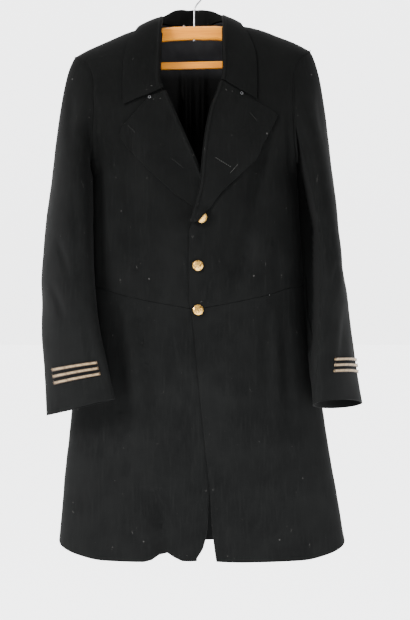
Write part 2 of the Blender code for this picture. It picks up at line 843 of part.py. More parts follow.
def skins(point, columns, rows, thickness, sign, lift=0.0):
    """Outer and inner skin of a wall: the inner one lies under the outer by the thickness."""
    outer = []
    inner = []
    low_u, high_u = columns[0], columns[-1]
    low_v, high_v = rows[0], rows[-1]
    step_u = (high_u - low_u) / NORMAL_STEPS
    step_v = (high_v - low_v) / NORMAL_STEPS
    for column in columns:
        line_out = []
        line_in = []
        for row in rows:
            across = point(min(column + step_u, high_u), row) - point(max(column - step_u, low_u), row)
            along = point(column, min(row + step_v, high_v)) - point(column, max(row - step_v, low_v))
            normal = across.cross(along).normalized() * sign
            place = point(column, row)
            line_out.append(place + normal * lift)
            line_in.append(place + normal * (lift - thickness))
        outer.append(line_out)
        inner.append(line_in)
    return outer, inner


def pull(grid, first_column=0.0, last_column=0.0, first_row=0.0, last_row=0.0):
    """Draw the borders of a grid back along the cloth, which leaves the seams' gaps."""
    def draw(point, neighbour, distance):
        return point + (neighbour - point).normalized() * distance

    if first_column:
        grid[0] = [draw(a, b, first_column) for a, b in zip(grid[0], grid[1])]
    if last_column:
        grid[-1] = [draw(a, b, last_column) for a, b in zip(grid[-1], grid[-2])]
    for line in grid:
        if first_row:
            line[0] = draw(line[0], line[1], first_row)
        if last_row:
            line[-1] = draw(line[-1], line[-2], last_row)


def new_material(name, colour, roughness, metallic=0.0):
    material = bpy.data.materials.new(name)
    material.use_nodes = True
    shader = material.node_tree.nodes["Principled BSDF"]
    shader.inputs["Base Color"].default_value = (*colour, 1)
    shader.inputs["Roughness"].default_value = roughness
    shader.inputs["Metallic"].default_value = metallic
    return material


def add_mesh(name, verts, faces, material, collection):
    mesh = bpy.data.meshes.new(name)
    mesh.from_pydata([vert * MM for vert in verts], [], faces)
    body = bmesh.new()
    body.from_mesh(mesh)
    bmesh.ops.recalc_face_normals(body, faces=body.faces)
    body.to_mesh(mesh)
    body.free()
    mesh.materials.append(material)
    mesh.shade_smooth()
    piece = bpy.data.objects.new(name, mesh)
    collection.objects.link(piece)
    return piece


def add_wall(name, outer, inner, material, collection, turned_from=None):
    """A closed wall between two skins of the same columns and rows.

    Both skins split their cells along the same diagonal, so that pieces laid on each other keep
    the same facets. A piece that follows its neighbour's columns backwards turns the diagonal.
    """
    columns = len(outer)
    rows = len(outer[0])
    verts = [point for line in outer for point in line] + [point for line in inner for point in line]
    under = columns * rows

    def at(column, row):
        return column * rows + row

    faces = []
    for column in range(columns - 1):
        turned = turned_from is not None and column >= turned_from
        for row in range(rows - 1):
            a, b = at(column, row), at(column + 1, row)
            c, d = at(column + 1, row + 1), at(column, row + 1)
            for corners in ((a, b, d), (b, c, d)) if turned else ((a, b, c), (a, c, d)):
                faces.append(corners)
                faces.append(tuple(under + corner for corner in reversed(corners)))
    rim = [at(column, 0) for column in range(columns)]
    rim += [at(columns - 1, row) for row in range(1, rows)]
    rim += [at(column, rows - 1) for column in range(columns - 2, -1, -1)]
    rim += [at(0, row) for row in range(rows - 2, 0, -1)]
    for index, corner in enumerate(rim):
        after = rim[(index + 1) % len(rim)]
        faces.append((after, corner, under + corner, under + after))
    return add_mesh(name, verts, faces, material, collection)


def add_loft(name, sections, material, collection):
    """A closed solid through sections of the same number of points."""
    size = len(sections[0])
    verts = [point for section in sections for point in section]
    faces = [tuple(range(size)), tuple(range(len(verts) - 1, len(verts) - 1 - size, -1))]
    for index in range(len(sections) - 1):
        for corner in range(size):
            after = (corner + 1) % size
            low = index * size
            high = low + size
            faces.append((low + corner, low + after, high + after, high + corner))
    return add_mesh(name, verts, faces, material, collection)


def build_fronts(cloth, collection):
    upper = [index / UPPER_ROWS for index in range(1, UPPER_ROWS + 1)]
    rows = steps(-1, 0, BODICE_ROWS) + upper
    columns = steps(0, 1, FRONT_COLUMNS)
    for side, name in ((LEFT, "front_left"), (RIGHT, "front_right")):
        pair = skins(front_panel(side), columns, rows, CLOTH, side)
        for grid in pair:
            pull(grid, last_column=HALF_GAP, first_row=HALF_GAP, last_row=HALF_GAP)
        add_wall(name, *pair, cloth, collection)


def build_skirts(cloth, collection):
    rows = steps(-2, -1, SKIRT_ROWS)
    columns = steps(0, 1, FRONT_COLUMNS)
    for side, name in ((LEFT, "skirt_left"), (RIGHT, "skirt_right")):
        pair = skins(skirt_panel(side), columns, rows, CLOTH, side)
        for grid in pair:
            pull(grid, last_column=HALF_GAP, last_row=HALF_GAP)
        add_wall(name, *pair, cloth, collection)


def build_backs(cloth, collection):
    columns = back_columns()
    upper = [index / UPPER_ROWS for index in range(1, UPPER_ROWS + 1)]
    rows = steps(-2, -1, SKIRT_ROWS) + steps(-1, 0, BODICE_ROWS)[1:] + upper
    for side, name in ((LEFT, "back_left"), (RIGHT, "back_right")):
        pair = skins(back_panel(side), columns, rows, CLOTH, side)
        for grid in pair:
            pull(grid, first_column=HALF_GAP, last_column=HALF_GAP, last_row=HALF_GAP)
        add_wall(name, *pair, cloth, collection)


def sleeve_rows():
    return steps(0, 1, CAP_ROWS) + steps(1, 2, TUBE_ROWS)[1:]


def sleeve_skins(side, first, last):
    count = round((last - first) * UPPER_ROWS / 180)
    columns = steps(first, last, count)
    pair = skins(sleeve_panel(side), columns, sleeve_rows(), CLOTH, -side)
    for grid, seam in zip(pair, (GAP, GAP + SEAM_BEVEL)):
        pull(grid, first_column=HALF_GAP, last_column=HALF_GAP, first_row=seam)
    return columns, pair


def build_sleeves(cloth, collection):
    for side, name in ((LEFT, "sleeve_left"), (RIGHT, "sleeve_right")):
        lap = 180 / UPPER_ROWS
        _, top = sleeve_skins(side, -lap, UNDER_START)
        add_wall(name + "_top", *top, cloth, collection)
        _, under = sleeve_skins(side, UNDER_START, 360 - lap)
        add_wall(name + "_under", *under, cloth, collection)


def on_panel(grid, columns, rows, column, row):
    """A point on the facets of a skin, between its own points."""
    u = min(bisect_right(columns, column), len(columns) - 1) - 1
    v = min(bisect_right(rows, row), len(rows) - 1) - 1
    s = (column - columns[u]) / (columns[u + 1] - columns[u])
    t = (row - rows[v]) / (rows[v + 1] - rows[v])
    near, far = grid[u][v], grid[u + 1][v + 1]
    corner = grid[u + 1][v] if s > t else grid[u][v + 1]
    first, second = (s, t) if s > t else (t, s)
    return near + (corner - near) * first + (far - corner) * second


def build_lace(lace, collection):
    rows = sleeve_rows()
    for side, name in ((LEFT, "lace_left"), (RIGHT, "lace_right")):
        columns, (grid, _) = sleeve_skins(side, -180 / UPPER_ROWS, UNDER_START)
        table = RIGHT_TUBE if side == RIGHT else LEFT_TUBE
        length = table[0].z - table[-1].z
        first, last = LACE_SPAN[side]
        places = [first] + [column for column in columns if first < column < last] + [last]

        def point(alpha, row):
            return on_panel(grid, columns, rows, alpha, row)

        for number, above in enumerate(LACE_ABOVE_RIM[side], start=1):
            centre = 2 - above / length
            half = LACE_HALF_WIDTH / length
            across = [centre - half, centre, centre + half]
            pair = skins(point, places, across, LACE_THICK, -side, LACE_LAY + LACE_THICK)
            add_wall(f"{name}_{number}", *pair, lace, collection)


def build_lapels(cloth, collection):
    columns = [0, 1, 2, 3, 4] + [WRAP_FLAT + share for share in steps(0, 1, LAPEL_COLUMNS)[1:]]
    for side, name in ((LEFT, "lapel_left"), (RIGHT, "lapel_right")):
        pair = skins(lapel_panel(side), columns, steps(0, 1, LAPEL_ROWS), CLOTH, -side)
        for grid in pair:
            pull(grid, first_row=GAP)
        add_wall(name, *pair, cloth, collection)


def collar_rows():
    right = [RIGHT_GORGE] + list(COLLAR_STATIONS)
    left = [4 - row for row in reversed(COLLAR_STATIONS) if row > LEFT_GORGE + NUDGE] + [4 - LEFT_GORGE]
    return right + [2.0] + left


def build_collar(cloth, tape, collection):
    columns = [0, 1, 2, 3, 4] + [WRAP_FLAT + share for share in steps(0, 1, COLLAR_FALL_COLUMNS)[1:]]
    pair = skins(collar_point, columns, collar_rows(), CLOTH, -1)
    add_wall("collar", *pair, cloth, collection)
    build_loop(columns, pair[0], tape, collection)


def build_loop(columns, grid, tape, collection):
    """The hanging loop: a tape across the inside of the stand."""
    rows = collar_rows()
    half = LOOP_HALF / NECK_HALF * LOOP_TURN
    middle = 2 + LOOP_SHIFT / NECK_HALF * LOOP_TURN
    inside = [row for row in rows if middle - half < row < middle + half]
    places = [middle - half] + inside + [middle + half]

    def point(column, row):
        return on_panel(grid, columns, rows, column, row)

    pair = skins(point, [LOOP_LOW, LOOP_HIGH], places, LOOP_THICK, RIGHT, LOOP_LIFT + LOOP_THICK)
    add_wall("hanging_loop", *pair, tape, collection)


def build_lining(lining, collection):
    half = [1 - share for share in back_columns()[LINING_FIRST_COLUMN:]]
    columns = [-place for place in half[:-1]] + list(reversed(half))
    rows = steps(-1, 0, BODICE_ROWS)[LINING_FIRST_ROW:]
    rows += [index / UPPER_ROWS for index in range(1, round(LINING_TOP * UPPER_ROWS) + 1)] + [LINING_TOP + 1]
    pair = skins(lining_point, columns, rows, LINING, RIGHT, -CLOTH - LINING_ROOM)
    add_wall("back_lining", *pair, lining, collection, turned_from=len(half) - 1)


def build_buttons(gilt, collection):
    for button in BUTTONS:
        mesh = bpy.data.meshes.new(button.name)
        verts = [(spot.radius * MM, 0, spot.height * MM) for spot in reversed(BUTTON_PROFILE)]
        mesh.from_pydata(verts, [(index, index + 1) for index in range(len(verts) - 1)], [])
        mesh.materials.append(gilt)
        piece = bpy.data.objects.new(button.name, mesh)
        collection.objects.link(piece)
        screw = piece.modifiers.new("turned", "SCREW")
        screw.steps = BUTTON_STEPS
        screw.render_steps = BUTTON_STEPS
        screw.use_merge_vertices = True
        screw.merge_threshold = 0.0001
        screw.use_smooth_shade = True
        normal = front_normal(button.x, button.z, LEFT)
        aside = math.tan(math.radians(button.tip_x))
        upward = math.tan(math.radians(button.tip_z))
        tipped = normal + Vector((aside, 0, upward))
        seat = front_at(button.x, button.z, LEFT) + normal * BUTTON_SEAT
        lift = BUTTON_PROFILE[1].radius * math.sin(tipped.angle(normal))
        piece.location = (seat + normal * lift) * MM
        piece.rotation_mode = "QUATERNION"
        piece.rotation_quaternion = tipped.normalized().to_track_quat("Z", "Y")


def add_wire(name, points, radius, material, collection, cyclic=False):
    curve = bpy.data.curves.new(name, "CURVE")
    curve.dimensions = "3D"
    curve.bevel_depth = radius * MM
    curve.bevel_resolution = 2
    curve.use_fill_caps = not cyclic
    spline = curve.splines.new("POLY")
    spline.points.add(len(points) - 1)
    for target, point in zip(spline.points, points):
        target.co = (*(point * MM), 1)
    spline.use_cyclic_u = cyclic
    curve.materials.append(material)
    wire = bpy.data.objects.new(name, curve)
    collection.objects.link(wire)
    return wire


def build_fasteners(steel, collection):
    height = CLOTH + LAPEL_LAY + GAP + RING_WIRE
    for name, spot, side in (("collar_hook", HOOK_SPOT, RIGHT), ("collar_eye", EYE_SPOT, LEFT)):
        normal = front_normal(spot.x, spot.z, side)
        across = normal.cross(Vector((0, 0, 1))).normalized()
        up = across.cross(normal)
        centre = front_at(spot.x, spot.z, side) + normal * height
        points = []
        for index in range(RING_STEPS):
            turn = index * math.tau / RING_STEPS
            points.append(centre + (across * math.cos(turn) + up * math.sin(turn)) * RING_RADIUS)
        add_wire(name, points, RING_WIRE, steel, collection, cyclic=True)


def hook_points():
    """The wire: straight up from the wood, aside, then round the hook."""
    radius = HOOK_INNER + HOOK_WIRE
    points = [Vector((spot.x, 0, spot.z)) for spot in SHANK]
    for turn in steps(HOOK_FROM, HOOK_TO, HOOK_STEPS):
        around = math.radians(turn)
        points.append(Vector((radius * math.cos(around), 0, radius * math.sin(around) - HOOK_INNER)))
    return points


def bar_line(name):
    return Line(HANGER_BAR, "x", name)


def build_hanger(wood, steel, collection):
    top = bar_line("top")
    bottom = bar_line("bottom")
    places = [row.x for row in HANGER_BAR]
    sections = []
    for x in [-place for place in reversed(places[1:])] + places:
        high = top(abs(x)) + TILT * x
        low = bottom(abs(x)) + TILT * x
        outline = (
            (-BAR_HALF + BAR_ROUND, high), (BAR_HALF - BAR_ROUND, high),
            (BAR_HALF, high - BAR_ROUND), (BAR_HALF, low + BAR_ROUND),
            (BAR_HALF - BAR_ROUND, low), (-BAR_HALF + BAR_ROUND, low),
            (-BAR_HALF, low + BAR_ROUND), (-BAR_HALF, high - BAR_ROUND),
        )
        sections.append([Vector((x, y, z)) for y, z in outline])
    add_loft("hanger_shoulders", sections, wood, collection)

    length = 2 * TROUSER_BAR_HALF_LENGTH * MM
    depth = 2 * TROUSER_BAR_HALF_DEPTH * MM
    height = (TROUSER_BAR_TOP - TROUSER_BAR_BOTTOM) * MM
    mesh = bpy.data.meshes.new("hanger_trouser_bar")
    body = bmesh.new()
    bmesh.ops.create_cube(body, size=1)
    bmesh.ops.scale(body, vec=(length, depth, height), verts=body.verts)
    body.to_mesh(mesh)
    body.free()
    mesh.materials.append(wood)
    bar = bpy.data.objects.new("hanger_trouser_bar", mesh)
    bar.location = (0, 0, (TROUSER_BAR_TOP + TROUSER_BAR_BOTTOM) / 2 * MM)
    bar.rotation_euler = (0, -math.atan(TILT), 0)
    collection.objects.link(bar)
    bevel = bar.modifiers.new("rounded", "BEVEL")
    bevel.width = TROUSER_BAR_ROUND * MM
    bevel.segments = 2

    add_wire("hanger_hook", hook_points(), HOOK_WIRE, steel, collection)
    nut_mesh = bpy.data.meshes.new("hanger_nut")
    body = bmesh.new()
    bmesh.ops.create_cone(
        body, cap_ends=True, segments=NUT_SIDES,
        radius1=NUT_RADIUS * MM, radius2=NUT_RADIUS * MM, depth=NUT_HEIGHT * MM,
    )
    body.to_mesh(nut_mesh)
    body.free()
    nut_mesh.materials.append(steel)
    nut = bpy.data.objects.new("hanger_nut", nut_mesh)
    nut.location = (0, 0, (HANGER_BAR[0].bottom - GAP - NUT_HEIGHT / 2) * MM)
    collection.objects.link(nut)


def main():
    for item in list(bpy.data.objects):
        bpy.data.objects.remove(item, do_unlink=True)
    collection = bpy.data.collections.new("naval_officer_coat")
    bpy.context.scene.collection.children.link(collection)
    cloth = new_material("wool_cloth", (0.012, 0.013, 0.014), 0.9)
    satin = new_material("lining_satin", (0.02, 0.02, 0.022), 0.45)
    lace = new_material("gilt_lace", (0.45, 0.34, 0.2), 0.5, 0.4)
    gilt = new_material("gilt_brass", (0.8, 0.62, 0.32), 0.3, 1.0)
    steel = new_material("steel_wire", (0.6, 0.6, 0.6), 0.3, 1.0)
    tape = new_material("loop_tape", (0.4, 0.33, 0.27), 0.6)
    wood = new_material("beech_wood", (0.68, 0.4, 0.16), 0.45)
    build_fronts(cloth, collection)
    build_skirts(cloth, collection)
    build_backs(cloth, collection)
    build_sleeves(cloth, collection)
    build_lapels(cloth, collection)
    build_collar(cloth, tape, collection)
    build_lining(satin, collection)
    build_lace(lace, collection)
    build_buttons(gilt, collection)
    build_fasteners(steel, collection)
    build_hanger(wood, steel, collection)


main()
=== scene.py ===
"""Naval officer's frock coat on a wooden hanger, dressed for the picture.

Lengths are in millimetres and angles in degrees until a mesh is written in metres. The tables and
panels repeat the part's own, and the cloth here follows them in fine cells.
"""

import math
from bisect import bisect_right
from collections import namedtuple

import bmesh
import bpy
import numpy as np
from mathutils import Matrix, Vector, noise


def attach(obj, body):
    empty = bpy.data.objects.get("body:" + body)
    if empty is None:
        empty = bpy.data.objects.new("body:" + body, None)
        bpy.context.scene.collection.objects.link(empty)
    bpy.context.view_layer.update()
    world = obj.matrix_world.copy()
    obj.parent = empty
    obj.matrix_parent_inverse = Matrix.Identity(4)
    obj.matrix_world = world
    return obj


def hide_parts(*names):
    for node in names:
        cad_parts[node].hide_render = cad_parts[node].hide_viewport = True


# The tufts' places are drawn from this module, which is otherwise seeded by the clock
NOISE_SEED = 7
noise.seed_set(NOISE_SEED)
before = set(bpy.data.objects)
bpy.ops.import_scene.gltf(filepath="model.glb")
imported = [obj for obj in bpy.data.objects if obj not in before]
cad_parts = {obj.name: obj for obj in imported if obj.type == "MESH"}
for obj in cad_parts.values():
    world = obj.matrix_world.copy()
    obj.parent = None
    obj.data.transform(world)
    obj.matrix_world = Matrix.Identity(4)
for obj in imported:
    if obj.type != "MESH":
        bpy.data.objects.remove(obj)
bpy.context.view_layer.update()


def rows_of(kind, rows):
    """A table's rows with the columns named."""
    return [kind(*row) for row in rows]


MM = 0.001
NUDGE = 0.02
LEFT = 1
RIGHT = -1

# Cloth
CLOTH = 2.2
GAP = 0.3
LINING = 1.0
LINING_ROOM = 0.6
LINING_TOP = 0.9
LINING_LEAST = 0.03
LINING_NECK_FROM = 0.7
LINING_NECK_WIDE = 0.13
LINING_HALF = 0.6

# Heights below the top of the hook
ARMPIT = -362.0

# Girth of the coat at each height: right and left reach, front and back depth, squareness
Section = namedtuple("Section", "z right left front back square")
SECTIONS = rows_of(Section, (
    (-362, -190, 190, 78, 72, 2.4),
    (-464, -196, 196, 75, 66, 2.4),
    (-560, -200, 202, 69, 60, 2.3),
    (-608, -203, 205, 67, 60, 2.3),
    (-686, -212, 216, 71, 66, 2.3),
    (-778, -224, 234, 76, 75, 2.3),
    (-908, -238, 256, 81, 84, 2.3),
    (-1030, -249, 277, 84, 89, 2.3),
    (-1070, -252, 284, 85, 90, 2.3),
))

# Waist seam and hem heights round the body, by angle from the centre front
Round = namedtuple("Round", "angle waist hem")
ROUNDS = rows_of(Round, (
    (0, -611, -1061), (16, -601, -1064), (40, -584, -1063), (54, -573, -1056), (72, -569, -1045),
    (90, -564, -1036), (120, -562, -1046), (180, -560, -1053),
))

# Side-back seam: angle from the centre front at each row
Seam = namedtuple("Seam", "row angle")
SIDE_SEAM = rows_of(Seam, (
    (-2, 136), (-1, 138), (-0.8, 136), (-0.5, 122), (-0.2, 103), (0, 90),
))

# Shoulders
Shoulder = namedtuple("Shoulder", "x z")
SHOULDER_LINE = rows_of(Shoulder, (
    (0, -66), (30, -69), (60, -82), (85, -88), (102, -91), (123, -97), (142, -104.5), (159, -112),
    (194, -127), (220, -141),
))
TILT = 0.02
ArmholeRow = namedtuple("ArmholeRow", "share x")
ARMHOLE = rows_of(ArmholeRow, (
    (0, 190), (0.1, 187), (0.25, 183), (0.5, 180), (0.7, 181), (0.82, 188), (0.94, 206), (1, 217),
))
ARMHOLE_FRONT = 66
ARMHOLE_BACK = 62
ARMHOLE_BACK_ANGLE = 90.001
HOLE_FADING = 2.0
HOLE_FADING_TOP = 0.3
CHEST_BACK_FULL = 0.4
CHEST_FRONT = 78
CHEST_BACK = 80
UPPER_SHIFT = -3
UPPER_SQUARE = 2.4
NECK_HALF = 58
NECK_DROP = 0.215

# Front edges: the roll line down to the button stand, then the edge of the skirt
Edge = namedtuple("Edge", "z x")
LEFT_EDGE = rows_of(Edge, (
    (-60, 55), (-178, 56), (-215, 47.4), (-251, 34.8), (-323, 22.1), (-384, 16.7), (-454, -2.9),
    (-472, -8.4), (-522, -9.2), (-594, -8.4), (-630, -2.9), (-773, 11.4), (-862, 20.4), (-929, 27.5),
    (-1023, 34.7), (-1062, 40),
))
RIGHT_EDGE = rows_of(Edge, (
    (-60, -61), (-197, -64), (-224, -52), (-287, -25), (-384, 16.7), (-430, 33), (-480, 38), (-700, 38),
    (-850, 33), (-943, 27.5), (-1006, 24), (-1038, 17), (-1056, 6),
))

# The right front passes under the left: how far it is set in, by height
Under = namedtuple("Under", "z depth")
UNDERLAP = rows_of(Under, (
    (-330, 0), (-366, 9.5), (-400, 10.5), (-440, 10.5), (-480, 4.2), (-700, 4), (-930, 4), (-1062, 4.5),
))
UNDERLAP_FROM = 95
UNDERLAP_FULL = 12

# Hem of the right skirt: lifted where its corner curls
HEM_LIFT_X = -52
HEM_LIFT_WIDTH = 20
HEM_LIFT = 17
HEM_LIFT_ROW = 1.75

# Largest folds: troughs are positive depths, ridges negative
Fold = namedtuple("Fold", "z_top x_top z_low x_low width depth")
FOLDS = {
    "front": rows_of(Fold, (
        (-300, -128, -545, -112, 15, 9), (-330, -92, -520, -84, 22, -4),
        (-290, 126, -470, 106, 17, 9), (-440, 108, -600, 68, 16, 8),
        (-380, 62, -560, 44, 20, -4), (-575, -150, -800, -126, 16, 10),
        (-590, -110, -800, -66, 15, 10), (-640, -92, -860, -100, 18, -5),
        (-600, 134, -850, 136, 17, 6), (-600, 164, -900, 172, 15, 6),
        (-640, 150, -900, 152, 12, -3), (-930, -74, -1090, -44, 17, 16),
    )),
    "back": rows_of(Fold, (
        (-200, -70, -520, -96, 22, 8), (-230, 76, -560, 92, 20, 7),
        (-300, 128, -560, 120, 17, 6), (-320, -132, -540, -124, 16, 6),
        (-600, -60, -1100, -74, 20, 13), (-640, -116, -1100, -140, 20, 12),
        (-600, 58, -1100, 76, 20, 13), (-650, 118, -1100, 150, 21, 12),
    )),
}
FOLD_FULLNESS = 0.7

# Vent at the centre back: half its opening at the hem, and where it starts
VENT_HALF = 2.5
VENT_ROW = 1.1
VENT_ANGLE = 160

# Lapels: outline from the roll to the notch and round the outer edge (x, z)
Spot = namedtuple("Spot", "x z")
RIGHT_LAPEL_TOP = rows_of(Spot, (
    (-56, -218.5), (-81, -228), (-118, -270), (-129, -284), (-134, -297),
))
RIGHT_LAPEL_OUT = rows_of(Spot, (
    (-134, -297), (-120, -318.5), (-79, -363), (-34, -405), (2, -428), (20, -437),
))
RIGHT_LAPEL_END = -431
LEFT_LAPEL_TOP = rows_of(Spot, (
    (52, -200.5), (83.5, -220), (148, -259), (150.5, -264),
))
LEFT_LAPEL_OUT = rows_of(Spot, (
    (150.5, -264), (125, -315), (108.5, -342), (83, -369), (51, -399.5), (30, -428), (20, -441),
    (8, -453),
))
LEFT_LAPEL_END = -455
LAPEL_ROLL_TOP = 6.2
LAPEL_ROLL_LOW = 5.4
LAPEL_LAY = 1.7

# Section of a fold: steps across it from its hidden foot over the crest to its outer side
Wrap = namedtuple("Wrap", "step across")
Rise = namedtuple("Rise", "step height")
WRAP_FLAT = 4
WRAP_HALF = 2.6
WRAP_DROP = 2.0
WRAP_SHOULDER = 2.5
WRAP = rows_of(Wrap, (
    (0, -4.2), (1, -4.4), (2, -3.6), (3, -0.6), (WRAP_FLAT, WRAP_HALF),
))
LAPEL_FOOT = -2.0

# Collar stations: row 0.5 to 1 runs up the front edge, 1 to 2 round the back neck
Station = namedtuple(
    "Station", "row lean angle height_right height_left leaf_right leaf_left turn_right turn_left leaf_height"
)
COLLAR = rows_of(Station, (
    (0.50, 0, 30.0, 5.5, 5.5, 127.6, 112, 23.4, 20.3, 3.1),
    (0.60, 0, 40.9, 5.8, 5.8, 129, 114, 40.9, 37, 3.1),
    (0.70, 0, 52.6, 6.5, 6.5, 128, 113, 52.6, 51, 3.1),
    (0.80, 0, 64.8, 8, 7.5, 120, 102, 64.8, 64.8, 3.6),
    (0.90, 1, 78.5, 12, 10, 108, 91, 77.4, 77.4, 4.6),
    (1.00, 3, 93.0, 16, 13, 99, 84, 90, 90, 7),
    (1.25, 7, 97.0, 22, 17.5, 86, 76, 107, 107, 9),
    (1.50, 8, 99.0, 25, 22.5, 66, 58, 115, 115, 9),
    (1.75, 6, 102.0, 31, 30.5, 35, 32, 121, 121, 8),
    (2.00, 0, 103.0, 35, 35, 0, 0, 124, 124, 8),
))
SIDE_NAME = {RIGHT: "right", LEFT: "left"}
RIGHT_GORGE = 0.52
LEFT_GORGE = 0.549
COLLAR_SET = 1.5

# Sleeves: centre, half width, half thickness and turn of the flattened tube
Tube = namedtuple("Tube", "z x y wide thick turn")
RIGHT_TUBE = rows_of(Tube, (
    (-374, 225, -8, 72, 37, 75),
    (-445, 229, -15, 71, 39, 66),
    (-537, 231, -27, 71, 40, 57),
    (-630, 226, -44, 70, 34, 45),
    (-722, 213, -64, 69, 28, 33),
    (-786, 203, -82, 69, 24, 25),
))
LEFT_TUBE = rows_of(Tube, (
    (-374, 221, -5, 75, 34, 94),
    (-445, 224, -10, 73, 38, 98),
    (-537, 235, -18, 69, 40, 98),
    (-590, 241, -22, 68, 41, 84),
    (-630, 245, -28, 67, 38, 70),
    (-722, 255, -44, 68, 31, 58),
    (-782, 260, -58, 67, 26, 48),
))
CUFF_TILT = {RIGHT: (17, 0), LEFT: (5, 9)}
CUFF_TILT_FROM = 0.55
CAP_OUT = 0.5
CAP_OUT_TOP = 0.3
CAP_DROP_TOP = 0.42
CAP_DOWN = 0.95
SLEEVE_ROOM = 3.6
SLEEVE_ROOM_QUICK = 6
SLEEVE_PRESSED = 150.0
UNDER_START = 180
ARMPIT_LAP = 18.0
Crease = namedtuple("Crease", "side alpha z width height depth")
CREASES = rows_of(Crease, (
    (RIGHT, 60, -520, 40, 30, 5),
    (RIGHT, 120, -600, 40, 28, 4),
    (LEFT, 70, -540, 40, 30, 5),
    (LEFT, 110, -470, 40, 26, 4),
))

# Cuff lace
LACE_ABOVE_RIM = {RIGHT: (71, 60, 49), LEFT: (76, 65, 54)}
LACE_HALF_WIDTH = 2.8
LACE_THICK = 1.0
LACE_LAY = 0.8
LACE_SPAN = {RIGHT: (28, 118), LEFT: (46, 138)}

# Hanging loop inside the collar
LOOP_HALF = 34
LOOP_SHIFT = -12
LOOP_LOW = 0.44
LOOP_HIGH = 0.72
LOOP_THICK = 0.8
LOOP_LIFT = 2.3
LOOP_TURN = 0.55


def mix(low, high, share):
    return low + (high - low) * share


def clamp(value, low=0.0, high=1.0):
    return max(low, min(high, value))


def ease(value):
    share = clamp(value)
    return share * share * (3 - 2 * share)


def steps(low, high, count):
    return [mix(low, high, index / count) for index in range(count + 1)]


class Line:
    """A smooth line through one column of a table, which never swings past its rows."""

    def __init__(self, rows, key, column):
        pairs = sorted((getattr(row, key), getattr(row, column)) for row in rows)
        self.keys = [pair[0] for pair in pairs]
        self.values = [pair[1] for pair in pairs]
        slopes = []
        for index in range(len(pairs) - 1):
            run = self.keys[index + 1] - self.keys[index]
            slopes.append((self.values[index + 1] - self.values[index]) / run)
        self.slopes = [slopes[0]]
        for before, after in zip(slopes, slopes[1:]):
            same = before * after > 0
            self.slopes.append(2 * before * after / (before + after) if same else 0.0)
        self.slopes.append(slopes[-1])

    def __call__(self, key):
        key = clamp(key, self.keys[0], self.keys[-1])
        index = min(bisect_right(self.keys, key), len(self.keys) - 1) - 1
        run = self.keys[index + 1] - self.keys[index]
        t = (key - self.keys[index]) / run
        rise = self.values[index + 1] - self.values[index]
        start = self.slopes[index] * run
        end = self.slopes[index + 1] * run
        bend = (3 * t * t - 2 * t * t * t) * rise
        return self.values[index] + bend + (t - 2 * t * t + t ** 3) * start + (t ** 3 - t * t) * end


SECTION = {name: Line(SECTIONS, "z", name) for name in ("right", "left", "front", "back", "square")}
WAIST = Line(ROUNDS, "angle", "waist")
HEM = Line(ROUNDS, "angle", "hem")
SIDE = Line(SIDE_SEAM, "row", "angle")
SHOULDER = Line(SHOULDER_LINE, "x", "z")
ARMHOLE_X = Line(ARMHOLE, "share", "x")
EDGE_X = {LEFT: Line(LEFT_EDGE, "z", "x"), RIGHT: Line(RIGHT_EDGE, "z", "x")}
UNDERLAP_DEPTH = Line(UNDERLAP, "z", "depth")
WRAP_ACROSS = Line(WRAP, "step", "across")
COLLAR_LINE = {name: Line(COLLAR, "row", name) for name in Station._fields if name != "row"}
TUBE_LINE = {
    side: {name: Line(table, "z", name) for name in Tube._fields if name != "z"}
    for side, table in ((RIGHT, RIGHT_TUBE), (LEFT, LEFT_TUBE))
}


def spread(angle, power):
    """How far a superellipse of that power reaches beyond a circle, by angle."""
    turn = math.radians(angle)
    return (abs(math.sin(turn)) ** power + abs(math.cos(turn)) ** power) ** (-1 / power)


def angle_of(share, power):
    """The angle at which a superellipse reaches this share of its half width."""
    size = min(abs(share), 0.9999) ** power
    return math.copysign(math.degrees(math.atan((size / (1 - size)) ** (1 / power))), share)


def folded(angle):
    return abs((angle + 180) % 360 - 180)


def shoulder(x):
    return SHOULDER(abs(x)) + TILT * x


def height_share(row):
    return (1 - math.cos(math.pi * row)) / 2


def girth(z):
    right = SECTION["right"](z)
    left = SECTION["left"](z)
    front, back, square = (SECTION[name](z) for name in ("front", "back", "square"))
    return (left + right) / 2, (left - right) / 2, front, back, square


def fold_depth(x, z, face):
    """Depth of the largest folds at a spot seen from that face."""
    depth = 0.0
    for fold in FOLDS[face]:
        along = (fold.z_top - z) / (fold.z_top - fold.z_low)
        if not 0 < along < 1:
            continue
        away = (x - mix(fold.x_top, fold.x_low, along)) / fold.width
        depth += fold.depth * math.sin(math.pi * along) ** FOLD_FULLNESS * math.exp(-away * away)
    return depth


def underlap(x, z):
    edge = EDGE_X[LEFT](z)
    inward = (x - (edge - UNDERLAP_FROM)) / (UNDERLAP_FROM - UNDERLAP_FULL)
    return UNDERLAP_DEPTH(z) * ease(inward)


def relieved(point, middle, half, depth, side):
    """Set a point in or out by the folds and, on the right front, by the underlap."""
    face = "front" if point.y < 0 else "back"
    inward = fold_depth(point.x, point.z, face)
    if side == RIGHT and face == "front":
        inward += underlap(point.x, point.z)
    outward = Vector(((point.x - middle) / half ** 2, point.y / depth ** 2, 0))
    if inward == 0 or outward.length == 0:
        return point
    return point - outward.normalized() * inward


def lower_point(angle, z, side):
    middle, half, front, back, power = girth(z)
    turn = math.radians(angle)
    reach = spread(angle, power)
    depth = front if math.cos(turn) > 0 else back
    point = Vector((middle + half * reach * math.sin(turn), -depth * reach * math.cos(turn), z))
    return relieved(point, middle, half, depth, side)


def hole_share(share):
    return 2 * math.sqrt(share * (1 - share)) if share < 0.5 else 1.0


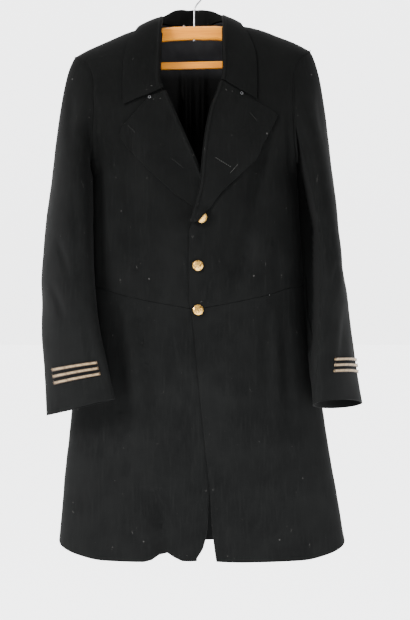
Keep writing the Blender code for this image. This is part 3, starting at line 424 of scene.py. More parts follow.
def upper_point(angle, share, side):
    """A point between the armpit and the shoulder line."""
    share = clamp(share)
    turn = math.radians(angle)
    front = math.cos(turn) > 0
    centre, hole = (CHEST_FRONT, ARMHOLE_FRONT) if front else (CHEST_BACK, ARMHOLE_BACK)
    if not front:
        centre = mix(SECTION["back"](ARMPIT), CHEST_BACK, ease(share / CHEST_BACK_FULL))
    reach = spread(angle, UPPER_SQUARE)
    middle = UPPER_SHIFT * share
    half = ARMHOLE_X(share)
    x = middle + half * reach * math.sin(turn)
    near_side = 1 - reach * abs(math.cos(turn))
    fading = mix(HOLE_FADING, 1, ease(share / HOLE_FADING_TOP))
    flat = centre * (1 - near_side) + hole * hole_share(share) * near_side ** fading
    lean = math.sqrt(1 - share * share)
    y = (-flat if front else flat) * lean
    z = ARMPIT + share * (shoulder(x) - ARMPIT)
    return relieved(Vector((x, y, z)), middle, half, centre, side)


def level(angle, row):
    """Height of a row from the armpit (0) through the waist seam (-1) to the hem (-2)."""
    around = folded(angle)
    waist = WAIST(around)
    if row >= -1:
        return mix(ARMPIT, waist, -row)
    return mix(waist, HEM(around), -row - 1)


def body_point(angle, row, side=LEFT):
    if row > 0:
        return upper_point(angle, height_share(row), side)
    return lower_point(angle, level(angle, row), side)


def edge_angle(side, row):
    angle = 0.0
    for _ in range(5):
        if row > 0:
            share = height_share(row)
            reach = ARMHOLE_X(share) * spread(angle, UPPER_SQUARE)
            x = UPPER_SHIFT * share + reach * math.sin(math.radians(angle))
            z = ARMPIT + share * (shoulder(x) - ARMPIT)
            angle = angle_of((EDGE_X[side](z) - UPPER_SHIFT * share) / ARMHOLE_X(share), UPPER_SQUARE)
        else:
            z = level(angle, row)
            middle, half, _, _, power = girth(z)
            angle = angle_of((EDGE_X[side](z) - middle) / half, power)
    return angle


NECK_ANGLE = 180 - angle_of(NECK_HALF / ARMHOLE_X(1), UPPER_SQUARE)


def neck_row(angle):
    """Top row of the back: the shoulder line, dipping round the back neck."""
    inward = (folded(angle) - NECK_ANGLE) / (180 - NECK_ANGLE)
    if inward <= 0:
        return 1.0
    return 1 - NECK_DROP * (1 - (1 - inward) ** 2)


def front_at(x, z, side):
    """The outer skin of the front above or below the armpit, at a place seen from the front."""
    if z <= ARMPIT:
        middle, half, _, _, power = girth(z)
        return lower_point(angle_of((x - middle) / half, power), z, side)
    share = clamp((z - ARMPIT) / (shoulder(x) - ARMPIT))
    half = ARMHOLE_X(share)
    return upper_point(angle_of((x - UPPER_SHIFT * share) / half, UPPER_SQUARE), share, side)


def front_normal(x, z, side):
    across = front_at(x + 2, z, side) - front_at(x - 2, z, side)
    up = front_at(x, z + 2, side) - front_at(x, z - 2, side)
    return across.cross(up).normalized()


def shell(x, angle, height):
    """A point over the shoulders: angle 0 is the chest, 90 the shoulder line, 180 the back."""
    turn = math.radians(angle)
    front = angle < 90
    centre, hole = (CHEST_FRONT, ARMHOLE_FRONT) if front else (CHEST_BACK, ARMHOLE_BACK)
    around = math.radians(angle_of((x - UPPER_SHIFT) / ARMHOLE_X(1), UPPER_SQUARE))
    flat = hole + (centre - hole) * spread(math.degrees(around), UPPER_SQUARE) * math.cos(around)
    rise = shoulder(x) - ARMPIT
    outward = Vector((0, -math.cos(turn) / flat, math.sin(turn) / rise)).normalized()
    return Vector((x, -flat * math.cos(turn), ARMPIT + rise * math.sin(turn))) + outward * height


def front_panel(side):
    def point(column, row):
        angle = mix(edge_angle(side, row), side * SIDE(row), column)
        return body_point(angle, row, side)
    return point


def skirt_panel(side):
    def point(column, row):
        angle = mix(edge_angle(side, row), side * SIDE(row), column)
        place = body_point(angle, row, side)
        if side == RIGHT and folded(angle) < 90:
            away = (place.x - HEM_LIFT_X) / HEM_LIFT_WIDTH
            place.z += HEM_LIFT * math.exp(-away * away) * ease((-row - HEM_LIFT_ROW) / (2 - HEM_LIFT_ROW))
        return place
    return point


def back_panel(side):
    def point(column, row):
        start = SIDE(row) if row <= 0 else ARMHOLE_BACK_ANGLE
        angle = mix(start, 180.0, column)
        top = neck_row(angle) if row > 0 else 1.0
        place = body_point(side * angle, row * top, LEFT)
        opening = ease((-row - VENT_ROW) / (2 - VENT_ROW)) * ease((angle - VENT_ANGLE) / (180 - VENT_ANGLE))
        place.x += side * VENT_HALF * opening
        return place
    return point


def armhole_point(side, alpha):
    """The armhole by angle: -90 the armpit, 0 the front, 90 the shoulder tip, 180 the back."""
    row = (alpha + 90) / 180 % 2
    front = row <= 1
    share = height_share(row if front else 2 - row)
    depth = -ARMHOLE_FRONT if front else ARMHOLE_BACK
    x = UPPER_SHIFT * share + side * ARMHOLE_X(share)
    y = depth * hole_share(share) * math.sqrt(max(0.0, 1 - share * share))
    return Vector((x, y, ARMPIT + share * (shoulder(x) - ARMPIT)))


def clear_of_body(point, room):
    """Push a point straight out of the body's girth where it comes nearer than the room."""
    middle, half, front, back, power = girth(min(point.z, ARMPIT))
    depth = front if point.y < 0 else back
    for _ in range(3):
        across = abs(point.x - middle) / half
        deep = abs(point.y) / depth
        radius = max(1e-6, (across ** power + deep ** power) ** (1 / power))
        slope_x = (across / radius) ** (power - 1) / half
        slope_y = (deep / radius) ** (power - 1) / depth
        steep = math.hypot(slope_x, slope_y)
        short = 1 + room * steep - radius
        if short <= 0:
            break
        move = short / steep ** 2
        point = point + Vector((
            math.copysign(slope_x * move, point.x - middle),
            math.copysign(slope_y * move, point.y),
            0,
        ))
    return point


def tube_point(side, alpha, along):
    """The sleeve below the armpit; along runs from 0 at the armpit to 1 at the cuff."""
    table = RIGHT_TUBE if side == RIGHT else LEFT_TUBE
    z = mix(table[0].z, table[-1].z, along)
    line = TUBE_LINE[side]
    turn = math.radians(line["turn"](z))
    inward = Vector((-side * math.cos(turn), -math.sin(turn), 0))
    outward = Vector((side * math.sin(turn), -math.cos(turn), 0))
    place = math.radians(alpha)
    thick = line["thick"](z)
    for crease in CREASES:
        if crease.side == side:
            off = ((alpha - crease.alpha) / crease.width) ** 2 + ((z - crease.z) / crease.height) ** 2
            thick -= crease.depth * math.exp(-off)
    point = Vector((side * line["x"](z), line["y"](z), z))
    point += inward * line["wide"](z) * math.cos(place) + outward * thick * math.sin(place)
    front, under = CUFF_TILT[side]
    tilt = ease((along - CUFF_TILT_FROM) / (1 - CUFF_TILT_FROM))
    point.z += tilt * (front * math.cos(place) + under * math.sin(place))
    return point


def sleeve_panel(side):
    def point(alpha, row):
        if row >= 1:
            return clear_of_body(tube_point(side, alpha, row - 1), SLEEVE_ROOM)
        start = armhole_point(side, alpha)
        end = tube_point(side, alpha, 0)
        down = (tube_point(side, alpha, NUDGE) - end).normalized()
        far = (end - start).length
        t = row
        place = start * (2 * t ** 3 - 3 * t * t + 1) + end * (3 * t * t - 2 * t ** 3)
        high = clamp((start.z - ARMPIT) / (SHOULDER_LINE[-1].z - ARMPIT))
        leave = Vector((side * mix(CAP_OUT, CAP_OUT_TOP, high), 0, -CAP_DROP_TOP * high ** 2))
        place += leave * far * (t ** 3 - 2 * t * t + t)
        place += down * far * CAP_DOWN * (t ** 3 - t * t)
        begun = ease(row * SLEEVE_ROOM_QUICK)
        room = mix(GAP, SLEEVE_ROOM, begun)
        if place.z < ARMPIT:
            return clear_of_body(place, room)
        pressed = begun * (1 - clamp((place.z - ARMPIT) / SLEEVE_PRESSED))
        return place.lerp(clear_of_body(place, room), pressed)
    return point


def fraction_line(spots):
    """A line through spots, read by its share of the whole length."""
    lengths = [0.0]
    for before, after in zip(spots, spots[1:]):
        lengths.append(lengths[-1] + math.hypot(after.x - before.x, after.z - before.z))

    def at(share):
        run = share * lengths[-1]
        index = min(bisect_right(lengths, run), len(spots) - 1) - 1
        part = (run - lengths[index]) / (lengths[index + 1] - lengths[index])
        return (mix(spots[index].x, spots[index + 1].x, part), mix(spots[index].z, spots[index + 1].z, part))
    return at


def lapel_panel(side):
    """The turned front: column 0 to 4 wraps the roll, 4 to 5 lies on the chest."""
    top, out, end = (
        (RIGHT_LAPEL_TOP, RIGHT_LAPEL_OUT, RIGHT_LAPEL_END) if side == RIGHT
        else (LEFT_LAPEL_TOP, LEFT_LAPEL_OUT, LEFT_LAPEL_END)
    )
    top_line = fraction_line(top)
    out_line = fraction_line(out)

    def roll_spot(row):
        z = mix(top[0].z, end, row)
        return EDGE_X[side](z), z

    def flat_spot(share, row):
        roll_x, roll_z = roll_spot(row)
        out_x, out_z = out_line(row)
        top_x, top_z = top_line(share)
        low_x, low_z = roll_spot(1)
        end_x, end_z = out_line(1)
        corner_x, corner_z = out_line(0)
        x = mix(roll_x, out_x, share) + mix(top_x, mix(low_x, end_x, share), row)
        z = mix(roll_z, out_z, share) + mix(top_z, mix(low_z, end_z, share), row)
        x -= mix(mix(top[0].x, corner_x, share), mix(low_x, end_x, share), row)
        z -= mix(mix(top[0].z, corner_z, share), mix(low_z, end_z, share), row)
        return x, z

    def roll_frame(row):
        x, z = flat_spot(0, row)
        ahead_x, ahead_z = flat_spot(0, min(1, row + NUDGE))
        behind_x, behind_z = flat_spot(0, max(0, row - NUDGE))
        along = Vector((ahead_x - behind_x, 0, ahead_z - behind_z)).normalized()
        normal = front_normal(x, z, side)
        return front_at(x, z, side), along.cross(normal) * -side, normal

    def point(column, row):
        crest = mix(LAPEL_ROLL_TOP, LAPEL_ROLL_LOW, row)
        place, away, normal = roll_frame(row)
        if column < WRAP_FLAT:
            across, height = wrap_section(column, LAPEL_FOOT, crest)
            return place + away * across + normal * height
        share = column - WRAP_FLAT
        x, z = flat_spot(share, row)
        lay = CLOTH + LAPEL_LAY
        height = lay + (crest - WRAP_DROP - lay) * (1 - share) ** 2
        height += max(0.0, fold_depth(x, z, "front")) * ease(share * 3)
        place = front_at(x, z, side) + front_normal(x, z, side) * height
        return place + away * WRAP_HALF * (1 - share) ** 2
    return point


def wrap_section(step, foot, crest):
    """A fold in the cloth, seen along it: how far across and how high each step lies."""
    side_top = crest - WRAP_SHOULDER
    heights = [foot, (foot + side_top) / 2, side_top, crest, crest - WRAP_DROP]
    rows = [Rise(*row) for row in enumerate(heights)]
    return WRAP_ACROSS(step), Line(rows, "step", "height")(step)


def collar_frame(turn):
    """Station of the collar: 0.5 to 2 up the right side to the back, then down the left."""
    side, row = (RIGHT, turn) if turn <= 2 else (LEFT, 4 - turn)
    if row < 1:
        seam = body_point(edge_angle(side, row), row, side)
    else:
        angle = mix(NECK_ANGLE, 180, row - 1)
        seam = body_point(side * angle, neck_row(angle), LEFT)
    angle = COLLAR_LINE["angle"](row)
    lean = COLLAR_LINE["lean"](row)
    height = COLLAR_LINE["height_" + SIDE_NAME[side]](row)
    fold = shell(seam.x - side * lean, angle, height)
    return side, row, seam, fold, angle, height


def collar_point(column, turn):
    """Column 0 is the neck seam, 3 the fold, 4 its outer side and 5 the edge of the leaf."""
    side, row, seam, fold, angle, height = collar_frame(turn)
    crest = (fold - seam).length
    up = (fold - seam).normalized()
    start = max(RIGHT_GORGE, turn - NUDGE)
    end = min(4 - LEFT_GORGE, turn + NUDGE)
    along = collar_frame(end)[3] - collar_frame(start)[3]
    away = up.cross(along).normalized()
    if column <= WRAP_FLAT:
        across, rise = wrap_section(column, 2 * GAP, crest)
        return seam + away * (across + COLLAR_SET) + up * rise
    share = column - WRAP_FLAT
    leaf_x = side * COLLAR_LINE["leaf_" + SIDE_NAME[side]](row)
    leaf_angle = COLLAR_LINE["turn_" + SIDE_NAME[side]](row)
    leaf_height = COLLAR_LINE["leaf_height"](row)
    x = mix(fold.x, leaf_x, share)
    bulge = leaf_height + (height - leaf_height) * (1 - share * share)
    place = shell(x, mix(angle, leaf_angle, share), bulge)
    return place + (away * (WRAP_HALF + COLLAR_SET) - up * WRAP_DROP) * (1 - share) ** 2


def lining_point(place, row):
    """The back from one shoulder blade (-1) to the other (1), through the centre seam (0)."""
    side = RIGHT if place < 0 else LEFT
    share = 1 - abs(place)
    if row > LINING_TOP:
        rise = max(LINING_LEAST, ease((share - LINING_NECK_FROM) / LINING_NECK_WIDE))
        row = mix(LINING_TOP, 1.0, (row - LINING_TOP) * rise)
    return back_panel(side)(share, row)


# Fine sheets: how far seams stay apart, how far an edge bulges, and the slow unevenness (size, height)
SEAM = 0.12
SEWN_SEAM = 0.03
RIM = 0.22
SEWN_RIM = 0.03
SHARP = 50
RELIEF = [(70.0, 0.9), (27.0, 0.45)]

# The wearer's left front turns back as far as the top button and rises over it
TOP_BUTTON = Spot(14, -446)
BUTTON_RISE = 9.5
BUTTON_REACH = 22.0
BUTTON_CLEAR = 9.0

# Creases listed one by one, by sheets and face: from a top spot to a low one; depth is inward
Soft = namedtuple("Soft", "z_top x_top z_low x_low width depth")
SOFT_CREASES = {
    ("body", "front"): rows_of(Soft, (
        (-262, -118, -470, -92, 9, 2.6), (-230, -176, -570, -168, 6, 3.4),
        (-300, -142, -500, -150, 8, 2.2), (-455, -78, -560, -58, 7, 1.4),
        (-470, -24, -600, -14, 8, 1.2), (-310, 128, -440, 112, 8, 3.0),
        (-430, 108, -600, 74, 7, 2.6), (-250, 170, -410, 178, 7, 2.4),
        (-460, 60, -590, 40, 8, 1.3), (-470, 150, -600, 148, 9, 1.8),
        (-578, -140, -700, -128, 6, 2.6), (-690, -129, -850, -136, 10, 1.6),
        (-584, -108, -730, -82, 6, 2.8), (-700, -84, -850, -64, 10, 2.0),
        (-640, -40, -900, -52, 12, 1.2), (-600, 128, -800, 132, 7, 2.4),
        (-590, 158, -820, 168, 7, 2.6), (-610, 88, -900, 96, 14, 1.4),
        (-860, 140, -1060, 160, 18, 1.8), (-880, -150, -1060, -168, 16, 1.8),
        (-900, -110, -1070, -104, 14, 1.2), (-640, 24, -636, 58, 4, 0.9),
    )),
    ("body", "back"): rows_of(Soft, (
        (-190, -66, -400, -88, 9, 0.4), (-210, 72, -400, 92, 10, 0.4),
        (-450, -84, -585, -58, 9, 1.8), (-460, 88, -590, 66, 9, 1.6),
        (-540, -120, -590, -60, 7, 1.6), (-545, 112, -590, 66, 7, 1.5),
        (-600, -100, -1030, -124, 13, 2.8), (-600, 98, -1040, 128, 13, 2.6),
        (-640, -160, -1030, -190, 14, 2.4), (-640, 160, -1040, 200, 14, 2.4),
    )),
    ("lining", "front"): rows_of(Soft, (
        (-96, -4.6, -170, -4.6, 1.4, 0.8), (-150, -24, -330, -22, 4, 2.4),
        (-150, -9, -330, -8, 4, 2.4), (-150, 16, -300, 14, 5, 2.0),
    )),
    ("sleeve_left", "front"): rows_of(Soft, (
        (-200, 226, -300, 236, 9, 1.6), (-420, 228, -560, 252, 9, 2.4),
        (-520, 262, -600, 240, 7, 2.4), (-600, 276, -720, 262, 9, 1.8),
    )),
    ("sleeve_left", "back"): rows_of(Soft, (
        (-430, 240, -600, 262, 10, 2.4), (-560, 270, -640, 250, 8, 2.2),
    )),
    ("sleeve_right", "front"): rows_of(Soft, (
        (-190, -226, -330, -222, 9, 1.6), (-380, -216, -560, -206, 10, 2.0),
        (-480, -250, -560, -222, 7, 2.4), (-560, -262, -640, -228, 8, 2.2),
        (-610, -200, -740, -172, 9, 1.8),
    )),
    ("sleeve_right", "back"): rows_of(Soft, (
        (-440, -240, -610, -252, 10, 2.4), (-560, -266, -640, -240, 8, 2.0),
    )),
}
FACE_FADE = 26.0
SLEEVE_FADE = 10.0
CREASE_GAIN = 1.5
CREASE_FULLNESS = 0.8
CREASE_STEEP = 0.75
CREASE_EASY = 1.3
CUFF_LOW = -780.0
EASE_REACH = 0.3
EASE_HELD = 3
EASE_ROUNDS = 14
BEHIND_LINING = 300.0


def creases_of(grid, group):
    """Inward depth of the listed creases over a grid; they fade out towards the sides."""
    x, y, z = grid[:, :, 0], grid[:, :, 1], grid[:, :, 2]
    middle, fade = (0.0, FACE_FADE) if group == "body" else (MIDDLE[group](z), SLEEVE_FADE)
    depth = np.zeros(x.shape)
    for face, sense in (("front", 1), ("back", -1)):
        side = np.clip((middle - y) * sense / fade, 0, 1)
        for crease in SOFT_CREASES.get((group, face), ()):
            run_x, run_z = crease.x_low - crease.x_top, crease.z_low - crease.z_top
            length = math.hypot(run_x, run_z)
            along = ((x - crease.x_top) * run_x + (z - crease.z_top) * run_z) / length ** 2
            away = ((x - crease.x_top) * run_z - (z - crease.z_top) * run_x) / length
            fullness = np.sin(np.pi * np.clip(along, 0, 1)) ** CREASE_FULLNESS
            width = crease.width * np.where(away > 0, CREASE_STEEP, CREASE_EASY)
            depth += CREASE_GAIN * crease.depth * side * fullness * np.exp(-(away / width) ** 2)
    return depth[:, :, None]


def sleeve_middle(side):
    """Depth of the sleeve's middle at each height."""
    line = TUBE_LINE[side]["y"]
    return np.vectorize(lambda z: line(clamp(z, CUFF_LOW, ARMPIT)))


def behind_lining(z):
    """A depth behind the whole lining, so that all of it counts as a front."""
    return np.full(z.shape, BEHIND_LINING)


MIDDLE = {"sleeve_left": sleeve_middle(LEFT), "sleeve_right": sleeve_middle(RIGHT), "lining": behind_lining}


def eased(grid, rows):
    """Take the hard turn at the armpit out of a panel; its last columns keep their place."""
    grid = grid.copy()
    near = np.clip(1 - np.abs(np.array(rows)) / EASE_REACH, 0, 1)[1:-1]
    hold = np.clip((len(grid) - 1 - np.arange(len(grid))) / EASE_HELD, 0, 1)
    share = (hold[:, None] * near[None, :])[:, :, None] / 2
    for _ in range(EASE_ROUNDS):
        mean = (grid[:, :-2] + grid[:, 2:]) / 2
        grid[:, 1:-1] += (mean - grid[:, 1:-1]) * share
    return grid


def grid_of(point, columns, rows):
    return np.array([[tuple(point(column, row)) for row in rows] for column in columns])


def normals_of(grid, sign):
    normal = np.cross(np.gradient(grid, axis=0), np.gradient(grid, axis=1)) * sign
    return normal / np.maximum(np.linalg.norm(normal, axis=2, keepdims=True), 1e-9)


def arcs_of(grid, axis):
    step = np.linalg.norm(np.diff(grid, axis=axis), axis=2)
    start = np.zeros_like(np.take(step, [0], axis=axis))
    return np.concatenate([start, np.cumsum(step, axis=axis)], axis=axis)


def relief_of(grid):
    """Slow unevenness of hanging cloth, the same on both sides of a seam."""
    depth = np.zeros(grid.shape[:2])
    for size, height in RELIEF:
        for column, line in enumerate(grid):
            for row, place in enumerate(line):
                depth[column, row] += height * noise.noise(Vector(place) / size)
    return depth[:, :, None]


def trimmed(grid, first_column=0.0, last_column=0.0, first_row=0.0, last_row=0.0):
    """Draw the borders of a grid back along the cloth."""
    grid = grid.copy()

    def draw(edge, inside, distance):
        step = inside - edge
        return edge + step / np.maximum(np.linalg.norm(step, axis=-1, keepdims=True), 1e-9) * distance

    grid[0] = draw(grid[0], grid[1], first_column)
    grid[-1] = draw(grid[-1], grid[-2], last_column)
    grid[:, 0] = draw(grid[:, 0], grid[:, 1], first_row)
    grid[:, -1] = draw(grid[:, -1], grid[:, -2], last_row)
    return grid


def border(columns, rows):
    """Corners round the border of a grid, each with the corner just inside it."""
    ring = [(column, 0, column, 1) for column in range(columns)]
    ring += [(columns - 1, row, columns - 2, row) for row in range(1, rows)]
    ring += [(column, rows - 1, column, rows - 2) for column in range(columns - 2, -1, -1)]
    ring += [(0, row, 1, row) for row in range(rows - 2, 0, -1)]
    return ring


def wall_mesh(name, grid, thickness, sign, lift, uneven, group, rim):
    """A closed sheet with a rounded edge; its map holds real lengths in metres."""
    columns, rows, _ = grid.shape
    normal = normals_of(grid, sign)
    outer = grid + normal * (lift + (relief_of(grid) if uneven else 0.0))
    if group:
        outer = outer - normal * creases_of(grid, group)
    inner = outer - normal * thickness
    across, along = arcs_of(grid, 0), arcs_of(grid, 1)
    flat = np.stack([across, along], axis=2).reshape(-1, 2) * MM
    ring = border(columns, rows)
    middle = []
    for column, row, in_column, in_row in ring:
        out = grid[column, row] - grid[in_column, in_row]
        out /= max(np.linalg.norm(out), 1e-9)
        middle.append((outer[column, row] + inner[column, row]) / 2 + out * thickness * rim)
    verts = np.concatenate([outer.reshape(-1, 3), inner.reshape(-1, 3), np.array(middle)]) * MM
    under = columns * rows
    faces = []
    for column in range(columns - 1):
        for row in range(rows - 1):
            a = column * rows + row
            corners = (a, a + rows, a + rows + 1, a + 1)
            faces.append(corners)
            faces.append(tuple(under + corner for corner in reversed(corners)))
    edge = [column * rows + row for column, row, _, _ in ring]
    for index, corner in enumerate(edge):
        after = (index + 1) % len(edge)
        mid, mid_after = 2 * under + index, 2 * under + after
        faces.append((edge[after], corner, mid, mid_after))
        faces.append((mid_after, mid, under + corner, under + edge[after]))
    mesh = bpy.data.meshes.new(name)
    mesh.from_pydata(verts.tolist(), [], faces)
    body = bmesh.new()
    body.from_mesh(mesh)
    bmesh.ops.recalc_face_normals(body, faces=body.faces)
    layer = body.loops.layers.uv.new("cloth")
    places = np.concatenate([flat, flat, flat[edge]])
    for face in body.faces:
        for loop in face.loops:
            loop[layer].uv = places[loop.vert.index]
    body.to_mesh(mesh)
    body.free()
    mesh.shade_smooth()
    mesh.set_sharp_from_angle(angle=math.radians(SHARP))
    width = float(across[-1].max()) * MM
    length = float(along[:, -1].max()) * MM
    cells = np.cross(grid[1:, :-1] - grid[:-1, :-1], grid[:-1, 1:] - grid[:-1, :-1])
    area = float(np.linalg.norm(cells, axis=2).sum()) * MM * MM
    return mesh, width, length, area


def add_piece(name, mesh, material, nodes):
    """A visible piece on the one body; material and nodes say what it is made of and stands for."""
    mesh.materials.append(material)
    piece = bpy.data.objects.new(name, mesh)
    bpy.context.scene.collection.objects.link(piece)
    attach(piece, "root")
    if nodes:
        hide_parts(*nodes)
    return piece


LAPEL_GRIDS = {}
LAPEL_LYING_FROM = 22


def add_cloth(node, grid, material, slot="wool_cloth", thickness=CLOTH, sign=1, lift=0.0, uneven=True,
              group="body", rests_on=None, rim=RIM, **borders):
    """A panel of cloth in place of its CAD node; rests_on is not used."""
    grid = trimmed(grid, **{key: value + thickness * rim for key, value in borders.items()})
    mesh, width, length, area = wall_mesh(node + "_cloth", grid, thickness, sign, lift, uneven, group, rim)
    piece = add_piece(node + "_cloth", mesh, material, [node])
    width, length = math.ceil(width * 1000) / 1000, math.ceil(length * 1000) / 1000


# The left sleeve's hollow beside the body: its outer border, and how far the cloth falls back in it
Hollow = namedtuple("Hollow", "z x share")
SLEEVE_HOLLOW = rows_of(Hollow, (
    (-780, 212, 0.3), (-722, 218, 0.8), (-667, 223, 1), (-593, 227, 1), (-463, 226, 1), (-400, 214, 1),
    (-330, 198, 0.6), (-280, 186, 0),
))
HOLLOW_STEEP = 8.0
HOLLOW_FLOOR = 18.0


def beside_body(grid, side):
    """Let the inner front of the left sleeve fall back beside the body; the right one stays."""
    if side == RIGHT:
        return grid
    heights = [spot.z for spot in SLEEVE_HOLLOW]
    z = grid[:, :, 2]
    edge = np.interp(z, heights, [spot.x for spot in SLEEVE_HOLLOW])
    share = np.interp(z, heights, [spot.share for spot in SLEEVE_HOLLOW])
    floor = MIDDLE["sleeve_left"](z) + HOLLOW_FLOOR
    inward = np.clip((edge - grid[:, :, 0]) / HOLLOW_STEEP, 0, 1)
    inward = inward * inward * (3 - 2 * inward)
    grid = grid.copy()
    grid[:, :, 1] += np.maximum(0, floor - grid[:, :, 1]) * inward * share
    return grid


EDGES = {"first_column": SEAM, "last_column": SEAM, "first_row": SEAM, "last_row": SEAM}
SEWN = {**EDGES, "first_column": SEWN_SEAM, "last_column": SEWN_SEAM}

# Cells of the fine sheets: along the rows and across the columns of each panel
SIDES = ((LEFT, "left"), (RIGHT, "right"))
UPPER_FINE = steps(0, 1, 58)[1:]
BODICE_FINE = steps(-1, 0, 46)
SKIRT_FINE = steps(-2, -1, 92)
FRONT_FINE = steps(0, 1, 46)
BACK_FINE = steps(0, 1, 40)
ROLL_FINE = 20
LAPEL_FINE = 30
LAPEL_LONG = 70
COLLAR_FINE = 120
LOOP_CELLS = (4, 16)
LINING_FINE = steps(-0.375, 0, 16) + steps(0, LINING_TOP, 50)[1:] + steps(LINING_TOP, LINING_TOP + 1, 5)[1:]
LINING_ACROSS = 80
CAP_FINE = 24
SLEEVE_FINE = 84
SLEEVE_CELL = 2.5
SLEEVE_PARTS = (("top", -ARMPIT_LAP, UNDER_START), ("under", UNDER_START, 360 - ARMPIT_LAP))
LACE_CELLS = (60, 5)


def build_body(cloth):
    for side, suffix in SIDES:
        rows = BODICE_FINE + UPPER_FINE
        front = eased(grid_of(front_panel(side), FRONT_FINE, rows), rows)
        add_cloth("front_" + suffix, front, cloth, sign=side, rests_on="hanger_shoulders", **EDGES)
        skirt = grid_of(skirt_panel(side), FRONT_FINE, SKIRT_FINE)
        add_cloth("skirt_" + suffix, skirt, cloth, sign=side, rests_on=f"front_{suffix}_cloth", **EDGES)
        rows = SKIRT_FINE + BODICE_FINE[1:] + UPPER_FINE
        back = eased(grid_of(back_panel(side), BACK_FINE, rows)[::-1], rows)[::-1]
        add_cloth("back_" + suffix, back, cloth, sign=side, rests_on="hanger_shoulders", **EDGES)


def over_button(point):
    """Raise a panel of the left front where it runs over the top button."""
    def lifted(column, row):
        place = point(column, row)
        away = math.hypot(place.x - TOP_BUTTON.x, place.z - TOP_BUTTON.z)
        rise = BUTTON_RISE * ease(clamp((BUTTON_REACH - away) / (BUTTON_REACH - BUTTON_CLEAR)))
        return place + front_normal(place.x, place.z, LEFT) * rise
    return lifted


def build_lapels(cloth):
    columns = steps(0, WRAP_FLAT, ROLL_FINE) + steps(WRAP_FLAT, WRAP_FLAT + 1, LAPEL_FINE)[1:]
    for side, suffix in SIDES:
        panel = over_button(lapel_panel(side)) if side == LEFT else lapel_panel(side)
        grid = grid_of(panel, columns, steps(0, 1, LAPEL_LONG))
        LAPEL_GRIDS[side] = grid
        add_cloth("lapel_" + suffix, grid, cloth, sign=-side, rests_on=f"front_{suffix}_cloth", **EDGES)


def build_collar(cloth, tape):
    columns = steps(0, WRAP_FLAT, ROLL_FINE) + steps(WRAP_FLAT, WRAP_FLAT + 1, ROLL_FINE)[1:]
    turns = steps(RIGHT_GORGE, 4 - LEFT_GORGE, COLLAR_FINE)
    grid = grid_of(collar_point, columns, turns)
    add_cloth("collar", grid, cloth, sign=RIGHT, group=None, rests_on="back_left_cloth", **EDGES)
    half = LOOP_HALF / NECK_HALF * LOOP_TURN
    middle = 2 + LOOP_SHIFT / NECK_HALF * LOOP_TURN
    stand = normals_of(grid, RIGHT)

    def loop_point(column, turn):
        """A spot above the inside of the collar's stand."""
        across = min(int(column / WRAP_FLAT * ROLL_FINE), 2 * ROLL_FINE - 2)
        run = (turn - turns[0]) / (turns[-1] - turns[0]) * COLLAR_FINE
        cell = min(int(run), COLLAR_FINE - 2)
        place = grid[across, cell] * (1 - (run - cell)) + grid[across, cell + 1] * (run - cell)
        return place + stand[across, cell] * (LOOP_LIFT + LOOP_THICK)

    long, short = LOOP_CELLS[1], LOOP_CELLS[0]
    strip = grid_of(loop_point, steps(LOOP_LOW, LOOP_HIGH, short), steps(middle - half, middle + half, long))
    add_cloth("hanging_loop", strip, tape, slot="loop_tape", thickness=LOOP_THICK, sign=RIGHT,
              uneven=False, group=None)


def build_lining(satin):
    grid = grid_of(lining_point, steps(-LINING_HALF, LINING_HALF, LINING_ACROSS), LINING_FINE)
    add_cloth("back_lining", grid, satin, slot="lining_satin", thickness=LINING, sign=RIGHT,
              lift=-CLOTH - LINING_ROOM, group="lining", rests_on="back_left_cloth", **EDGES)


def build_sleeves(cloth):
    rows = steps(0, 1, CAP_FINE) + steps(1, 2, SLEEVE_FINE)[1:]
    for side, suffix in SIDES:
        for part, first, last in SLEEVE_PARTS:
            count = round((last - first) / SLEEVE_CELL)
            grid = beside_body(grid_of(sleeve_panel(side), steps(first, last, count), rows), side)
            add_cloth(f"sleeve_{suffix}_{part}", grid, cloth, sign=-side, group=f"sleeve_{suffix}",
                      rests_on=f"front_{suffix}_cloth", rim=SEWN_RIM, **SEWN)


FRAY_BEADS = 5
FRAY_SIZE = 0.9
FRAY_SUNK = 0.3
FRAY_ASTRAY = 2.2
FRAY_GRAIN = 1.7
FRAY_ROUGH = 900


def build_frays(name, grid, sign, lace):
    """Turned-in ends of a stripe: a few small tufts of braid on each end."""
    mesh = bpy.data.meshes.new(name)
    body = bmesh.new()
    normal = normals_of(grid, sign)
    lift = LACE_LAY + LACE_THICK + FRAY_SIZE * FRAY_SUNK
    for end in (1, -2):
        for bead in range(FRAY_BEADS):
            row = bead % grid.shape[1]
            spot = Vector(grid[end, row]) + Vector(normal[end, row]) * lift
            shift = noise.noise_vector(spot * FRAY_GRAIN) * FRAY_ASTRAY
            ball = bmesh.ops.create_icosphere(body, subdivisions=1, radius=FRAY_SIZE * MM)["verts"]
            for vert in ball:
                vert.co = vert.co * (1 + noise.noise(vert.co * FRAY_ROUGH + spot)) + (spot + shift) * MM
    body.to_mesh(mesh)
    body.free()
    add_piece(name, mesh, lace, [])


def build_lace(lace):
    around, wide = LACE_CELLS
    for side, suffix in SIDES:
        table = RIGHT_TUBE if side == RIGHT else LEFT_TUBE
        length = table[0].z - table[-1].z
        half = LACE_HALF_WIDTH / length
        for number, above in enumerate(LACE_ABOVE_RIM[side], start=1):
            centre = 2 - above / length
            rows = steps(centre - half, centre + half, wide)
            grid = beside_body(grid_of(sleeve_panel(side), steps(*LACE_SPAN[side], around), rows), side)
            add_cloth(f"lace_{suffix}_{number}", grid, lace, slot="gilt_lace", thickness=LACE_THICK,
                      sign=-side, lift=LACE_LAY + LACE_THICK, group=f"sleeve_{suffix}")
            build_frays(f"lace_{suffix}_{number}_ends", grid, -side, lace)


